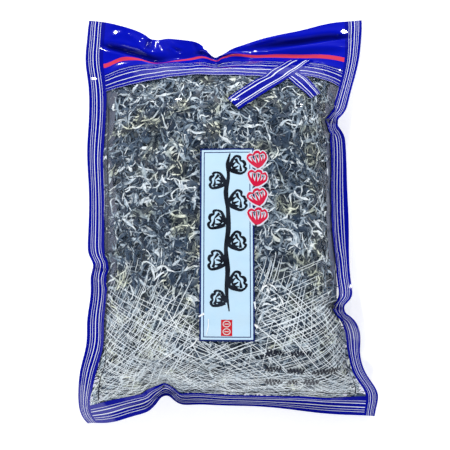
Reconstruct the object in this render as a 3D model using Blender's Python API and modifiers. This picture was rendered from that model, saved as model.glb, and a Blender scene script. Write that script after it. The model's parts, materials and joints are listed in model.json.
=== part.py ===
"""A heat-sealed clear film pouch full of shredded dried wood ear mushroom, lying on its back.

X runs across the pouch, Y along it towards the top seal and Z up from the table. The origin is on
the table, under the middle of the pouch. Run it with: blender --background --python part.py
"""

import math

import bmesh
import bpy
import numpy as np

MM = 0.001

# The filled pouch seen from above: how far it reaches from its middle, and how its sides draw in.
HALF_WIDTH = 150 * MM
HALF_LENGTH = 208 * MM
MIDDLE = (0.5 * MM, 2.6 * MM)
LEFT_BOW = 9.5 * MM
RIGHT_BOW = 26 * MM
RIGHT_MARGIN = 1.5 * MM
BOTTOM_BOW = 13 * MM
BOTTOM_SLANT = 4 * MM
TOP_DROP = 34 * MM
TOP_LIFT = 6 * MM

# Film thickness as drawn (the real laminate is 0.1 mm), and the gap between the two sheets where
# they are sealed together.
FILM = 0.5 * MM
SEAL_GAP = 0.4 * MM

# The filled part: the width of the seals, the height of the fill, and how wide its shoulders are.
SEAL = 12 * MM
FILL_HEIGHT = 66 * MM
SEAM_HEIGHT = 14 * MM
TOP_EMPTY = 28 * MM
TOP_EMPTY_AT_SIDES = 22 * MM
LEFT_SHOULDER = (95 * MM, 2.0)
RIGHT_SHOULDER = (58 * MM, 2.6)
BOTTOM_SHOULDER = (68 * MM, 2.4)
TOP_SHOULDER = (78 * MM, 2.0)
BACK_SHOULDER = (42 * MM, 2.0)
SIDE_FOOT = 4 * MM
END_FOOT = 10 * MM
TOUCHING = 0.8 * MM

# Where the seams buckle. Each pinch is (place along the edge, reach, depth inwards), in mm.
LEFT_PINCHES = ((165, 22, -3.0), (65, 35, -2.8), (-52, 9, 4.5), (-75, 30, 5.5), (-130, 22, 4.5))
RIGHT_PINCHES = (
    (165, 30, -3.5),
    (93, 10, 8.0),
    (93, 34, 4.5),
    (-10, 40, -2.0),
    (-96, 9, 11.0),
    (-122, 13, -3.0),
    (-182, 19, -9.5),
)
BOTTOM_PINCHES = ((-115, 25, -5.5), (-60, 11, 13.0), (-38, 28, 3.5), (100, 50, -4.5))
TOP_PINCHES = ((-105, 28, 4.0), (-77, 12, 5.5), (-50, 22, 5.0), (-13, 11, 12.0), (10, 30, 2.5), (112, 25, -2.5))
SIDE_FADE = 50 * MM
END_FADE = 70 * MM

# How high the middle of the seam lies along each edge, as (place along the edge, height), in mm.
LEFT_SEAM = ((-208, 10), (-150, 20), (-90, 16), (-52, 25), (-20, 18), (80, 16), (165, 13), (208, 10))
RIGHT_SEAM = (
    (-208, 10),
    (-175, 14),
    (-130, 22),
    (-94, 33),
    (-60, 21),
    (20, 19),
    (93, 31),
    (150, 16),
    (208, 10),
)
BOTTOM_SEAM = ((-150, 8), (-105, 10), (-60, 25), (-20, 15), (60, 12), (150, 8))
TOP_SEAM = ((-150, 8), (-112, 17), (-77, 8), (-45, 18), (-13, 12), (35, 16), (90, 10), (150, 8))
SEAM_FADE = 60 * MM

# How far each corner is drawn in: left bottom, right bottom, left top, right top.
CORNER_PULL = {(-1, -1): 12 * MM, (1, -1): 2 * MM, (-1, 1): 2 * MM, (1, 1): 3 * MM}

# The packed shreds inside, and the few long ones that are drawn one by one on top of them.
PACK_RIM = 5 * MM
PACK_UNDER_FRONT = 4.5 * MM
PACK_OVER_BACK = 1.2 * MM
PACK_LIFT = 0.3
PACK_CORNER_ROUNDING = 0.08
PACK_SIDE = 1 - (SEAL + PACK_RIM) / HALF_WIDTH
PACK_BOTTOM = 1 - (SEAL + PACK_RIM) / HALF_LENGTH
PACK_TOP = 1 - (TOP_EMPTY + PACK_RIM) / HALF_LENGTH
PACK_BEND_FROM = 0.55
PACK_BEND = 0.5
LEAST_PACK_CELL = 0.02
SHRED_COLUMNS = 4
SHRED_ROWS = 6
SHRED_WIDTH = 4.0 * MM
SHRED_THICKNESS = 1.0 * MM
SHRED_UNDER_FRONT = 2.6 * MM
SHRED_LENGTH = (24 * MM, 34 * MM)
SHRED_SEGMENTS = 8
SEED = 7

# Grids of the films: cells across and along, before the pinches add lines of their own.
FILM_COLUMNS = 17
FILM_ROWS = 28
LEAST_LINE_GAP = 3.5 * MM


def clear_scene():
    """Removes everything that the scene starts with."""
    for thing in list(bpy.data.objects):
        bpy.data.objects.remove(thing)


def make_material(name, colour, roughness, alpha=1.0):
    """A plain finish for one piece."""
    material = bpy.data.materials.new(name)
    material.use_nodes = True
    shader = material.node_tree.nodes["Principled BSDF"]
    shader.inputs["Base Color"].default_value = (*colour, 1.0)
    shader.inputs["Roughness"].default_value = roughness
    shader.inputs["Metallic"].default_value = 0.0
    shader.inputs["Alpha"].default_value = alpha
    return material


def smooth_through(points, at):
    """A smooth curve through hand-set points in mm, read at places in metres."""
    place, value = np.array(points, float).T * MM
    slope = np.gradient(value, place)
    at = np.clip(at, place[0], place[-1])
    i = np.clip(np.searchsorted(place, at) - 1, 0, len(place) - 2)
    span = place[i + 1] - place[i]
    f = (at - place[i]) / span
    rising = f * f * (3 - 2 * f)
    bend = span * (slope[i] * f * (1 - f) ** 2 - slope[i + 1] * f * f * (1 - f))
    return value[i] + (value[i + 1] - value[i]) * rising + bend


def pinched(pinches, at):
    """How far an edge is drawn in by its pinches, at places along it in metres."""
    return sum(depth * MM * np.exp(-(((at / MM - place) / reach) ** 2)) for place, reach, depth in pinches)


def fade(distance, reach, power=1.5):
    """1 at an edge, falling smoothly to 0 at reach from it."""
    return np.clip(1 - distance / reach, 0, 1) ** power


def rise(distance, shoulder):
    """0 at the foot of a shoulder, climbing to 1 on top of it."""
    width, power = shoulder
    return 1 - (1 - np.clip(distance / width, 0, 1)) ** power


def plan(across, along):
    """Where a point of the film lies on the table. across and along run from -1 to 1."""
    left = HALF_WIDTH - LEFT_BOW * (1 - abs(along) ** 2.2)
    right = HALF_WIDTH - RIGHT_MARGIN - RIGHT_BOW * (1 - abs(along) ** 2.6)
    x = np.where(across < 0, left, right) * across
    y = HALF_LENGTH * along
    place_x, place_y = HALF_WIDTH * across, HALF_LENGTH * along
    x = x + pinched(LEFT_PINCHES, place_y) * fade((1 + across) * HALF_WIDTH, SIDE_FADE)
    x = x - pinched(RIGHT_PINCHES, place_y) * fade((1 - across) * HALF_WIDTH, SIDE_FADE)
    raised = BOTTOM_BOW * (1 - across**2) + BOTTOM_SLANT * (1 + across) + pinched(BOTTOM_PINCHES, place_x)
    y = y + raised * fade((1 + along) * HALF_LENGTH, END_FADE, 1.3)
    dropped = TOP_DROP * (1 - abs(across)) ** 1.1 - TOP_LIFT + pinched(TOP_PINCHES, place_x)
    y = y - dropped * fade((1 - along) * HALF_LENGTH, END_FADE, 1.3)
    for (side, end), pull in CORNER_PULL.items():
        near = np.clip(side * across, 0, 1) ** 10 * np.clip(end * along, 0, 1) ** 22
        x = x - side * pull * near
    return x - MIDDLE[0], y - MIDDLE[1]


def seam_height(across, along):
    """How high the plane between the two sheets lies."""
    place_x, place_y = HALF_WIDTH * across, HALF_LENGTH * along
    edges = (
        (smooth_through(LEFT_SEAM, place_y), (1 + across) * HALF_WIDTH),
        (smooth_through(RIGHT_SEAM, place_y), (1 - across) * HALF_WIDTH),
        (smooth_through(BOTTOM_SEAM, place_x), (1 + along) * HALF_LENGTH),
        (smooth_through(TOP_SEAM, place_x), (1 - along) * HALF_LENGTH),
    )
    return SEAM_HEIGHT + sum((height - SEAM_HEIGHT) * fade(distance, SEAM_FADE) for height, distance in edges)


def past_foot(distance, foot):
    """Distance inside an edge, held back near the edge so that the film leaves it gently."""
    distance = np.clip(distance, 0, None)
    return distance**2 / (distance + foot)


def fill_distances(across, along):
    """How far a point is inside the filled part, from its left, right, bottom and top limits."""
    top_empty = TOP_EMPTY + TOP_EMPTY_AT_SIDES * across**2
    return (
        past_foot((1 + across) * HALF_WIDTH - SEAL, SIDE_FOOT),
        past_foot((1 - across) * HALF_WIDTH - SEAL, SIDE_FOOT),
        past_foot((1 + along) * HALF_LENGTH - SEAL, END_FOOT),
        past_foot((1 - along) * HALF_LENGTH - top_empty, END_FOOT),
    )


def fullness(across, along):
    """0 at the seals and 1 where the pouch is at its full height."""
    left, right, bottom, top = fill_distances(across, along)
    sides = rise(left, LEFT_SHOULDER) * rise(right, RIGHT_SHOULDER)
    return sides * rise(bottom, BOTTOM_SHOULDER) * rise(top, TOP_SHOULDER)


def lumps(across, along):
    """The uneven swell of the packed shreds, from -1 to 1."""
    return 0.5 * np.sin(5.1 * across + 2.3 * along + 0.4) + 0.5 * np.sin(3.7 * along - 4.3 * across + 1.9)


def front_height(across, along):
    """Height of the front film's inner face."""
    seam = seam_height(across, along)
    full = fullness(across, along)
    top = FILL_HEIGHT * (1 - 0.05 * along) + 1.5 * MM * lumps(across, along)
    return seam + SEAL_GAP / 2 + (top - seam) * full


def back_height(across, along):
    """Height of the back film's inner face. It lies flat on the table under the fill."""
    seam = seam_height(across, along)
    left, right, bottom, top = fill_distances(across, along)
    flat = rise(left, BACK_SHOULDER) * rise(right, BACK_SHOULDER)
    flat = flat * rise(bottom, BACK_SHOULDER) * rise(top, BACK_SHOULDER)
    lifted = (seam - SEAL_GAP / 2 - FILM) * (1 - flat)
    return FILM + np.where(lifted < TOUCHING, 0, lifted)


def grid_lines(cells, half_size, marks):
    """Places of the grid lines from -1 to 1: closer near the edges, with one on each pinch."""
    even = np.linspace(-1, 1, cells + 1)
    lines = list(even * (1.2 - 0.2 * even**2))
    for mark in marks:
        at = mark * MM / half_size
        lines = [line for line in lines if abs(line - at) * half_size > LEAST_LINE_GAP or abs(line) > 0.999]
        lines.append(at)
    return np.array(sorted(lines))


def film_lines():
    """The grid lines that both films share, so that their seals meet facet to facet."""
    across = [place for place, reach, _ in BOTTOM_PINCHES + TOP_PINCHES if reach < 25]
    sharp = [pinch for pinch in LEFT_PINCHES + RIGHT_PINCHES if pinch[1] < 12]
    along = [place + side * reach for place, reach, _ in sharp for side in (-1, 0, 1)]
    return grid_lines(FILM_COLUMNS, HALF_WIDTH, across), grid_lines(FILM_ROWS, HALF_LENGTH, along)


def new_grid(name, across_lines, along_lines, place):
    """A grid whose points are moved to place(across, along), which gives x, y and z."""
    columns, rows = len(across_lines) - 1, len(along_lines) - 1
    bpy.ops.mesh.primitive_grid_add(x_subdivisions=columns, y_subdivisions=rows, size=2.0)
    sheet = bpy.context.object
    sheet.name = name
    corners = np.array([vertex.co for vertex in sheet.data.vertices])
    column = np.rint((corners[:, 0] + 1) / 2 * columns).astype(int)
    row = np.rint((corners[:, 1] + 1) / 2 * rows).astype(int)
    points = np.stack(place(across_lines[column], along_lines[row]), axis=1)
    for vertex, point in zip(sheet.data.vertices, points):
        vertex.co = point
    return sheet


def thicken(sheet, thickness, offset):
    """Gives a sheet its thickness, on the side of its faces that offset names."""
    sheet.modifiers.new("same_diagonals", "TRIANGULATE")
    solid = sheet.modifiers.new("thickness", "SOLIDIFY")
    solid.thickness = thickness
    solid.offset = offset
    solid.use_even_offset = False


def make_film(name, height, outwards, material):
    """One sheet of the pouch, from its inner face outwards."""
    across_lines, along_lines = film_lines()

    def place(across, along):
        return (*plan(across, along), height(across, along))

    sheet = new_grid(name, across_lines, along_lines, place)
    thicken(sheet, FILM, outwards)
    sheet.data.materials.append(material)
    sheet.data.shade_smooth()
    return sheet


def pack_lines(lines, low, high):
    """The films' own grid lines inside the pack, and one on each end of it."""
    inside = [line for line in lines if low + LEAST_PACK_CELL < line < high - LEAST_PACK_CELL]
    return np.array([low, *inside, high])


def pack_point(across, along):
    """Rounds the corners of the pack and bends its top edge along the empty part of the pouch."""
    beyond = np.clip(along - PACK_BEND_FROM, 0, None)
    along = along - beyond * PACK_BEND * across**2
    near_corner = np.clip(abs(across) / PACK_SIDE, 0, 1) * np.clip(abs(along) / PACK_BOTTOM, 0, 1)
    rounding = 1 - PACK_CORNER_ROUNDING * near_corner**8
    return across * rounding, along * rounding


def pack_top(across, along):
    """Top of the packed shreds, under the front film."""
    across, along = pack_point(across, along)
    front, back = front_height(across, along), back_height(across, along)
    gap = np.minimum(PACK_UNDER_FRONT, 0.35 * (front - back))
    return (*plan(across, along), front - gap)


def pack_bottom(across, along):
    """Underside of the packed shreds, on the back film."""
    across, along = pack_point(across, along)
    front, back = front_height(across, along), back_height(across, along)
    gap = np.minimum(PACK_OVER_BACK + PACK_LIFT * (back - FILM), 0.33 * (front - back))
    return (*plan(across, along), back + gap)


def make_pack(material):
    """The packed shreds as one solid of their form: a top and an underside joined at the rim."""
    across_lines, along_lines = film_lines()
    across_lines = pack_lines(across_lines, -PACK_SIDE, PACK_SIDE)
    along_lines = pack_lines(along_lines, -PACK_BOTTOM, PACK_TOP)
    pack = new_grid("packed_shreds", across_lines, along_lines, pack_top)
    under = new_grid("underside", across_lines, along_lines, pack_bottom)
    body = bmesh.new()
    body.from_mesh(pack.data)
    body.from_mesh(under.data)
    bpy.data.objects.remove(under)
    bmesh.ops.bridge_loops(body, edges=[edge for edge in body.edges if edge.is_boundary])
    bmesh.ops.recalc_face_normals(body, faces=body.faces)
    body.to_mesh(pack.data)
    body.free()
    pack.data.materials.append(material)
    pack.data.shade_smooth()
    return pack


def shred_path(random, middle, heading):
    """Points of one curled shred, as (across, along) in the film's own scale."""
    length = random.uniform(*SHRED_LENGTH)
    curl = random.choice((-1, 1)) * random.uniform(1.0, 2.6)
    twist = random.uniform(-1.6, 1.6)
    steps = np.linspace(-0.5, 0.5, SHRED_SEGMENTS + 1)
    turns = heading + curl * steps + twist * steps**2
    step = length / SHRED_SEGMENTS
    x = np.concatenate([[0], np.cumsum(np.cos(turns[1:]) * step)])
    y = np.concatenate([[0], np.cumsum(np.sin(turns[1:]) * step)])
    x, y = x - x.mean(), y - y.mean()
    return middle[0] + x / HALF_WIDTH, middle[1] + y / HALF_LENGTH, turns


def make_shred(name, random, middle, material):
    """One curled strip of mushroom that lies on the packed shreds, just under the front film."""
    across, along, turns = shred_path(random, middle, random.uniform(0, 2 * math.pi))

    def place(side, step):
        i = np.rint((step + 1) / 2 * SHRED_SEGMENTS).astype(int)
        half = SHRED_WIDTH / 2 * (1 - 0.45 * abs(step) ** 3) * side
        a = across[i] - np.sin(turns[i]) * half / HALF_WIDTH
        b = along[i] + np.cos(turns[i]) * half / HALF_LENGTH
        return (*plan(a, b), front_height(a, b) - SHRED_UNDER_FRONT)

    strip = new_grid(name, np.linspace(-1, 1, 2), np.linspace(-1, 1, SHRED_SEGMENTS + 1), place)
    thicken(strip, SHRED_THICKNESS, 0)
    strip.data.materials.append(material)
    return strip


def make_shreds(pale, dark):
    """The long shreds on top, one in each cell of a loose grid, by turns pale side and dark side up."""
    random = np.random.default_rng(SEED)
    shreds = []
    for row in range(SHRED_ROWS):
        for column in range(SHRED_COLUMNS):
            middle = (-0.52 + 1.0 * column / (SHRED_COLUMNS - 1), -0.62 + 1.14 * row / (SHRED_ROWS - 1))
            number = len(shreds) + 1
            material = pale if (row + column) % 2 else dark
            shreds.append(make_shred(f"shred_{number:02d}", random, middle, material))
    return shreds


def main():
    """Builds the pouch and puts its pieces in one collection."""
    clear_scene()
    clear_film = make_material("printed_film", (0.10, 0.16, 0.72), 0.12, 0.4)
    dark = make_material("dark_shreds", (0.025, 0.03, 0.04), 0.55)
    pale = make_material("pale_shreds", (0.62, 0.62, 0.54), 0.65)
    pieces = [
        make_film("front_film", front_height, 1, clear_film),
        make_film("back_film", back_height, -1, clear_film),
        make_pack(dark),
        *make_shreds(pale, dark),
    ]
    pouch = bpy.data.collections.new("wood_ear_pouch")
    bpy.context.scene.collection.children.link(pouch)
    for piece in pieces:
        for home in list(piece.users_collection):
            home.objects.unlink(piece)
        pouch.objects.link(piece)


main()
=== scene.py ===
"""Looks of a heat-sealed clear film pouch full of shredded dried wood ear mushroom.

The pouch lies on its back with its printed front up. X runs across it, Y along it towards the top
seal and Z up. Everything on it is laid out flat first, as on the film before it was filled, and is
then wrapped onto the filled pouch. Flat places are (s, t): s across and t along, in metres from
the middle of the sheet.
"""

from __future__ import annotations

import json
import logging
import math
from collections.abc import Callable, Sequence
from dataclasses import dataclass, field
from enum import Enum

import bpy
import numpy as np
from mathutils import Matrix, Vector

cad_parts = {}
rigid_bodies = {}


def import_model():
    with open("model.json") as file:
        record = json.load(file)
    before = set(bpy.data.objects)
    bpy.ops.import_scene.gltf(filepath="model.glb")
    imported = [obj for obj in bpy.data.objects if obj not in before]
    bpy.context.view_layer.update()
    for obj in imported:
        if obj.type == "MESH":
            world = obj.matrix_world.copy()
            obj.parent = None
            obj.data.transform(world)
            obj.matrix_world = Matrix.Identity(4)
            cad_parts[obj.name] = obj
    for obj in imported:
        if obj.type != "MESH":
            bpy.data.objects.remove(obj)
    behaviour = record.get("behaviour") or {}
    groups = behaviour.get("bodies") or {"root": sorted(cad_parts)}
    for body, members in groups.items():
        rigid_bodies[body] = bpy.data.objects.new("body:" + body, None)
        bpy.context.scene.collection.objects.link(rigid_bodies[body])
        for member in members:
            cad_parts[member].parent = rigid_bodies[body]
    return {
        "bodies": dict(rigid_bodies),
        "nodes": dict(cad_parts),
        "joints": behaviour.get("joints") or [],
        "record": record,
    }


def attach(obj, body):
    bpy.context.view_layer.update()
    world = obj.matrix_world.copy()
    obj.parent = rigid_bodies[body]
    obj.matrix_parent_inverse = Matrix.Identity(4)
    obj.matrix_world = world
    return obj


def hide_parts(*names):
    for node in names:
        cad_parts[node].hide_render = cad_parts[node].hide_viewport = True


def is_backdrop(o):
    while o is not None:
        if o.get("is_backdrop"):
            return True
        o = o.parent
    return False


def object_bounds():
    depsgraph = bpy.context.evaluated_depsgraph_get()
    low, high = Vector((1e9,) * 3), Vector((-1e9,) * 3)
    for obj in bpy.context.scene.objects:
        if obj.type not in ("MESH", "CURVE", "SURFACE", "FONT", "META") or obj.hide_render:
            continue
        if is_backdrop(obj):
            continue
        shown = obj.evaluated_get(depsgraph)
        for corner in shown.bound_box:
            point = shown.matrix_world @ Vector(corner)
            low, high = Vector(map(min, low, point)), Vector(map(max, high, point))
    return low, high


LOG = logging.getLogger("pouch")
MM = 0.001
BODY = "root"
Array = np.ndarray
Colour = tuple[float, float, float]
Place = tuple[float, float]
Thing = bpy.types.Object
Socket = bpy.types.NodeSocket

# Half the flat sheet's width and length, and how far from its middle the side bands end, in mm
HALF_WIDTH = 150
HALF_LENGTH = 215
SIDE_LINE = 130


class Side(Enum):
    """The two sheets of the pouch. The value is which way each one faces along Z."""

    FRONT = 1
    BACK = -1


def ease(f: Array) -> Array:
    """Smooth step from 0 to 1."""
    f = np.clip(f, 0, 1)
    return f * f * (3 - 2 * f)


def fade(distance: Array, reach: float, power: float = 1.5) -> Array:
    """1 at an edge, falling to 0 at reach from it."""
    return np.clip(1 - distance / reach, 0, 1) ** power


def past_foot(distance: Array, foot: float) -> Array:
    """Distance inside an edge, held back near the edge so that the film leaves it gently."""
    distance = np.clip(distance, 0, None)
    return distance**2 / (distance + foot)


def rise(distance: Array, shoulder: tuple[float, float]) -> Array:
    """0 at the foot of a shoulder, climbing to 1 on top of it.

    Args:
        distance: how far inside the foot each point is.
        shoulder: its width, and how abruptly it levels off.
    """
    width, power = shoulder
    return 1 - (1 - np.clip(distance / width, 0, 1)) ** power


def smooth_through(points: Sequence[tuple[float, float]], at: Array) -> Array:
    """A smooth curve through given points in mm.

    Args:
        points: (place, value) pairs in mm, in rising order.
        at: places in metres.

    Returns:
        The values in metres.
    """
    place, value = np.array(points, float).T * MM
    slope = np.gradient(value, place)
    at = np.clip(at, place[0], place[-1])
    i = np.clip(np.searchsorted(place, at) - 1, 0, len(place) - 2)
    span = place[i + 1] - place[i]
    f = (at - place[i]) / span
    bend = span * (slope[i] * f * (1 - f) ** 2 - slope[i + 1] * f * f * (1 - f))
    return value[i] + (value[i + 1] - value[i]) * f * f * (3 - 2 * f) + bend


def curve_through(marks: Sequence[Place], share: Array) -> Array:
    """Points of a smooth curve through given places in mm.

    Args:
        marks: the places.
        share: how far along the curve each wanted point is, from 0 to 1.

    Returns:
        The points in metres, as an array of shape (n, 2).
    """
    places = np.array(marks, float)
    steps = np.linalg.norm(np.diff(places, axis=0), axis=1)
    run = np.concatenate([[0], np.cumsum(steps)])
    at = np.asarray(share) * run[-1] * MM
    return np.stack([smooth_through(list(zip(run, places[:, i])), at) for i in (0, 1)], axis=1)


def pinched(pinches: Sequence[tuple[float, float, float]], at: Array) -> Array:
    """How far an edge is drawn in by its pinches (place, reach, depth in mm)."""
    return sum(depth * MM * np.exp(-(((at / MM - place) / reach) ** 2)) for place, reach, depth in pinches)


def turned(x: Array | float, y: Array | float, degrees: float) -> tuple:
    """Places turned anticlockwise about the origin."""
    c, s = math.cos(math.radians(degrees)), math.sin(math.radians(degrees))
    return x * c - y * s, x * s + y * c


def mixed(table: Array, columns: tuple, rows: tuple, f: Array, g: Array) -> Array:
    """Mixes a table's values at two columns by the share f, and at two rows by the share g."""
    low = table[rows[0], columns[0]] * (1 - f) + table[rows[0], columns[1]] * f
    high = table[rows[1], columns[0]] * (1 - f) + table[rows[1], columns[1]] * f
    return low * (1 - g) + high * g


def cloudy(x: Array, y: Array, cell: float, seed: int) -> Array:
    """Soft random waves between -1 and 1.

    Args:
        x: places across, in metres.
        y: places along, in metres.
        cell: distance between the waves, in metres.
        seed: which waves.

    Returns:
        The waves' height at each place.
    """
    size, shift = 64, (1000.37, 1000.71)
    values = np.random.default_rng(seed).uniform(-1, 1, (size, size))
    u, v = x / cell + shift[0], y / cell + shift[1]
    i, j = np.floor(u).astype(int), np.floor(v).astype(int)
    columns, rows = (i % size, (i + 1) % size), (j % size, (j + 1) % size)
    return mixed(values, columns, rows, ease(u - i), ease(v - j))


def sampled(table: Array, across: Array, along: Array) -> Array:
    """Reads a table over (along, across) from -1 to 1, between its points."""
    rows, columns = table.shape
    u = np.clip((across + 1) / 2, 0, 1) * (columns - 1)
    v = np.clip((along + 1) / 2, 0, 1) * (rows - 1)
    i, j = np.minimum(u.astype(int), columns - 2), np.minimum(v.astype(int), rows - 2)
    return mixed(table, (i, i + 1), (j, j + 1), u - i, v - j)


def drawn_to(marks: Sequence[float], runs: Sequence[Array | float], at: Array) -> Array:
    """Moves places as the marks between which they lie are moved.

    Args:
        marks: marks in mm, in rising order.
        runs: where each of them is moved to, in metres.
        at: the places, in metres.

    Returns:
        The moved places.
    """
    moved = runs[0] + 0 * at
    for low, high, run_low, run_high in zip(marks, marks[1:], runs, runs[1:]):
        share = (at - low * MM) / (high * MM - low * MM)
        moved = np.where(at >= low * MM, run_low + (run_high - run_low) * share, moved)
    return moved


def level(height: float) -> tuple[Place, ...]:
    """A curve that stays at one height from side to side."""
    return ((-HALF_WIDTH, height), (HALF_WIDTH, height))


@dataclass(frozen=True)
class Registration:
    """Where the print lies on the sheet, after the film was drawn together along its seals.

    Attributes:
        bottom_band: where the bottom band's upper edge runs, as (s, t) pairs in mm.
        window_top, stripes_top, red_line: the same for those parts of the header.
        left_line, right_line: where the side bands' inner edges run, as (t, s) pairs.
        middle: how far from its middle line the print isn't moved sideways.
    """

    bottom_band: tuple = (
        ((-150, -200), (-132, -197), (-108, -190), (-89, -191), (-75, -186), (-64, -194))
        + ((-52, -201), (-33, -202), (47, -202), (87, -196), (130, -195), (150, -197))
    )
    window_top: tuple = (
        ((-150, 127), (-110, 135), (-66, 140), (-14, 145), (6, 144))
        + ((34, 141), (84, 143), (104, 141), (132, 137), (150, 133))
    )
    stripes_top: tuple = (
        ((-150, 147), (-129, 151), (-112, 161), (-90, 171), (-65, 177), (-36, 180), (-14, 203))
        + ((7, 196), (25, 186), (50, 177), (92, 169), (130, 156), (150, 150))
    )
    red_line: tuple = (
        ((-150, 158), (-128, 163), (-110, 176), (-94, 180), (-73, 180), (-54, 187), (-38, 194), (-15, 210))
        + ((-6, 211), (10, 206), (30, 197), (62, 189), (97, 180), (130, 169), (150, 163))
    )
    left_line: tuple = (
        ((-215, -140), (-195, -139), (-171, -135), (-145, -132))
        + ((-62, -132), (38, -134), (88, -132), (215, -131))
    )
    right_line: tuple = (
        ((-215, 139), (-178, 137), (-150, 138), (-132, 135), (-65, 134), (-47, 133), (-32, 128))
        + ((2, 122), (23, 124), (60, 127), (97, 128), (115, 132), (215, 131))
    )
    middle: float = 90

    def _rows(self) -> tuple[tuple[float, tuple], ...]:
        """Printed levels in mm, each with the curve it follows on the sheet."""
        return (
            (-HALF_LENGTH, level(-HALF_LENGTH)),
            (-197, self.bottom_band),
            (-130, level(-130)),
            (60, level(60)),
            (141, self.window_top),
            (159.5, self.stripes_top),
            (171, self.red_line),
            (HALF_LENGTH, level(HALF_LENGTH)),
        )

    def moved(self, s: Array, t: Array) -> tuple[Array, Array]:
        """Flat places on the sheet for places on the print."""
        levels, curves = zip(*self._rows())
        along = drawn_to(levels, [smooth_through(curve, s) for curve in curves], t)
        left, right = smooth_through(self.left_line, t), smooth_through(self.right_line, t)
        marks = (-HALF_WIDTH, -SIDE_LINE, -self.middle, self.middle, SIDE_LINE, HALF_WIDTH)
        ends = [mark * MM for mark in marks]
        across = drawn_to(marks, [ends[0], left, ends[2], ends[3], right, ends[5]], s)
        return across, np.clip(along, -HALF_LENGTH * MM, HALF_LENGTH * MM)


@dataclass(frozen=True)
class Crease:
    """A fold in the film from one place on the sheet to another, in mm.

    Attributes:
        start: (across, along) of its strong end, as on a sheet 300 wide and 416 long.
        end: (across, along) where it dies out.
        width: half its width at the strong end.
        height: how far it stands up. A furrow is below 0.
    """

    start: Place
    end: Place
    width: float
    height: float

    def lift(self, s: Array, t: Array) -> Array:
        """Height in metres that this fold adds. Beside a ridge lies a shallow furrow."""
        a, b = np.array(self.start) * MM, np.array(self.end) * MM
        run = b - a
        length = float(np.hypot(*run))
        ds, dt = s - a[0], t - a[1]
        f = (ds * run[0] + dt * run[1]) / length**2
        off = (ds * run[1] - dt * run[0]) / length
        width = self.width * MM * (0.6 + 0.8 * np.clip(f, 0, 1))
        body = ease((f + 0.12) / 0.24) * (1 - ease((f - 0.45) / 0.6))
        hat = (1 - 1.1 * (off / width) ** 2) * np.exp(-((off / width) ** 2))
        return self.height * MM * body * hat


CREASES = (
    Crease((-130, 182), (-52, 172), 7.0, -4.6),
    Crease((-104, 200), (-88, 188), 7.0, 1.2),
    Crease((-81, 208), (-88, 176), 7.0, -2.0),
    Crease((-64, 206), (-48, 182), 9.0, 1.0),
    Crease((-34, 205), (-26, 182), 7.0, -1.2),
    Crease((134, 191), (16, 195), 6.5, -4.2),
    Crease((130, 179), (40, 184), 7.0, 2.4),
    Crease((60, 204), (12, 201), 4.5, 1.4),
    Crease((-11, 208), (-40, 176), 4.6, -1.8),
    Crease((-11, 208), (-6, 160), 4.0, -1.4),
    Crease((-11, 208), (32, 178), 4.6, 1.6),
    Crease((-148, -56), (-106, -60), 4.6, -1.5),
    Crease((-148, -52), (-110, -32), 4.0, 1.0),
    Crease((-148, -60), (-108, -84), 4.0, 1.0),
    Crease((149, 93), (108, 98), 4.6, -1.8),
    Crease((149, 89), (114, 72), 4.0, 1.2),
    Crease((149, 97), (114, 120), 4.0, 1.2),
    Crease((149, -96), (104, -91), 5.0, -2.0),
    Crease((149, -100), (112, -120), 4.0, 1.3),
    Crease((149, -92), (112, -72), 5.0, 0.5),
    Crease((-60, -207), (-63, -160), 5.0, -0.7),
    Crease((-64, -207), (-92, -172), 4.6, 1.2),
    Crease((-56, -207), (-33, -172), 4.6, 1.2),
    Crease((-143, 145), (-137, 68), 4.0, 0.7),
    Crease((-138, 58), (-141, -20), 3.5, 0.6),
    Crease((-136, -88), (-141, -176), 3.5, 0.7),
    Crease((137, 68), (141, -20), 3.5, 0.7),
    Crease((141, -10), (136, -68), 3.5, 0.6),
    Crease((136, -118), (142, -186), 3.5, 0.7),
)


@dataclass(frozen=True)
class Facet:
    """A small patch of film that is tilted, so that it catches the light.

    Attributes:
        middle: (across, along) in mm, as on a sheet 300 wide and 416 long.
        reach: half its length and half its width, in mm.
        turn: how far its length is turned from across, in degrees.
        tilt: rise across and rise along.
    """

    middle: Place
    reach: Place
    turn: float
    tilt: Place

    def laid_in(self, relief: Array, s: Array, t: Array, share: Array | float) -> Array:
        """The film's relief with this patch in place of what it had there.

        Args:
            relief: the relief so far, in metres.
            s: places across the sheet, in metres.
            t: places along it.
            share: how much of the patch's height the film has.

        Returns:
            The new relief.
        """
        ds, dt = s - self.middle[0] * MM, t - self.middle[1] * MM
        u, v = turned(ds, dt, -self.turn)
        off = np.hypot(u / self.reach[0], v / self.reach[1]) / MM
        inside = 1 - ease((off - 0.8) / 0.6)
        return relief * (1 - inside) + (self.tilt[0] * ds + self.tilt[1] * dt) * inside * share


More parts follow.
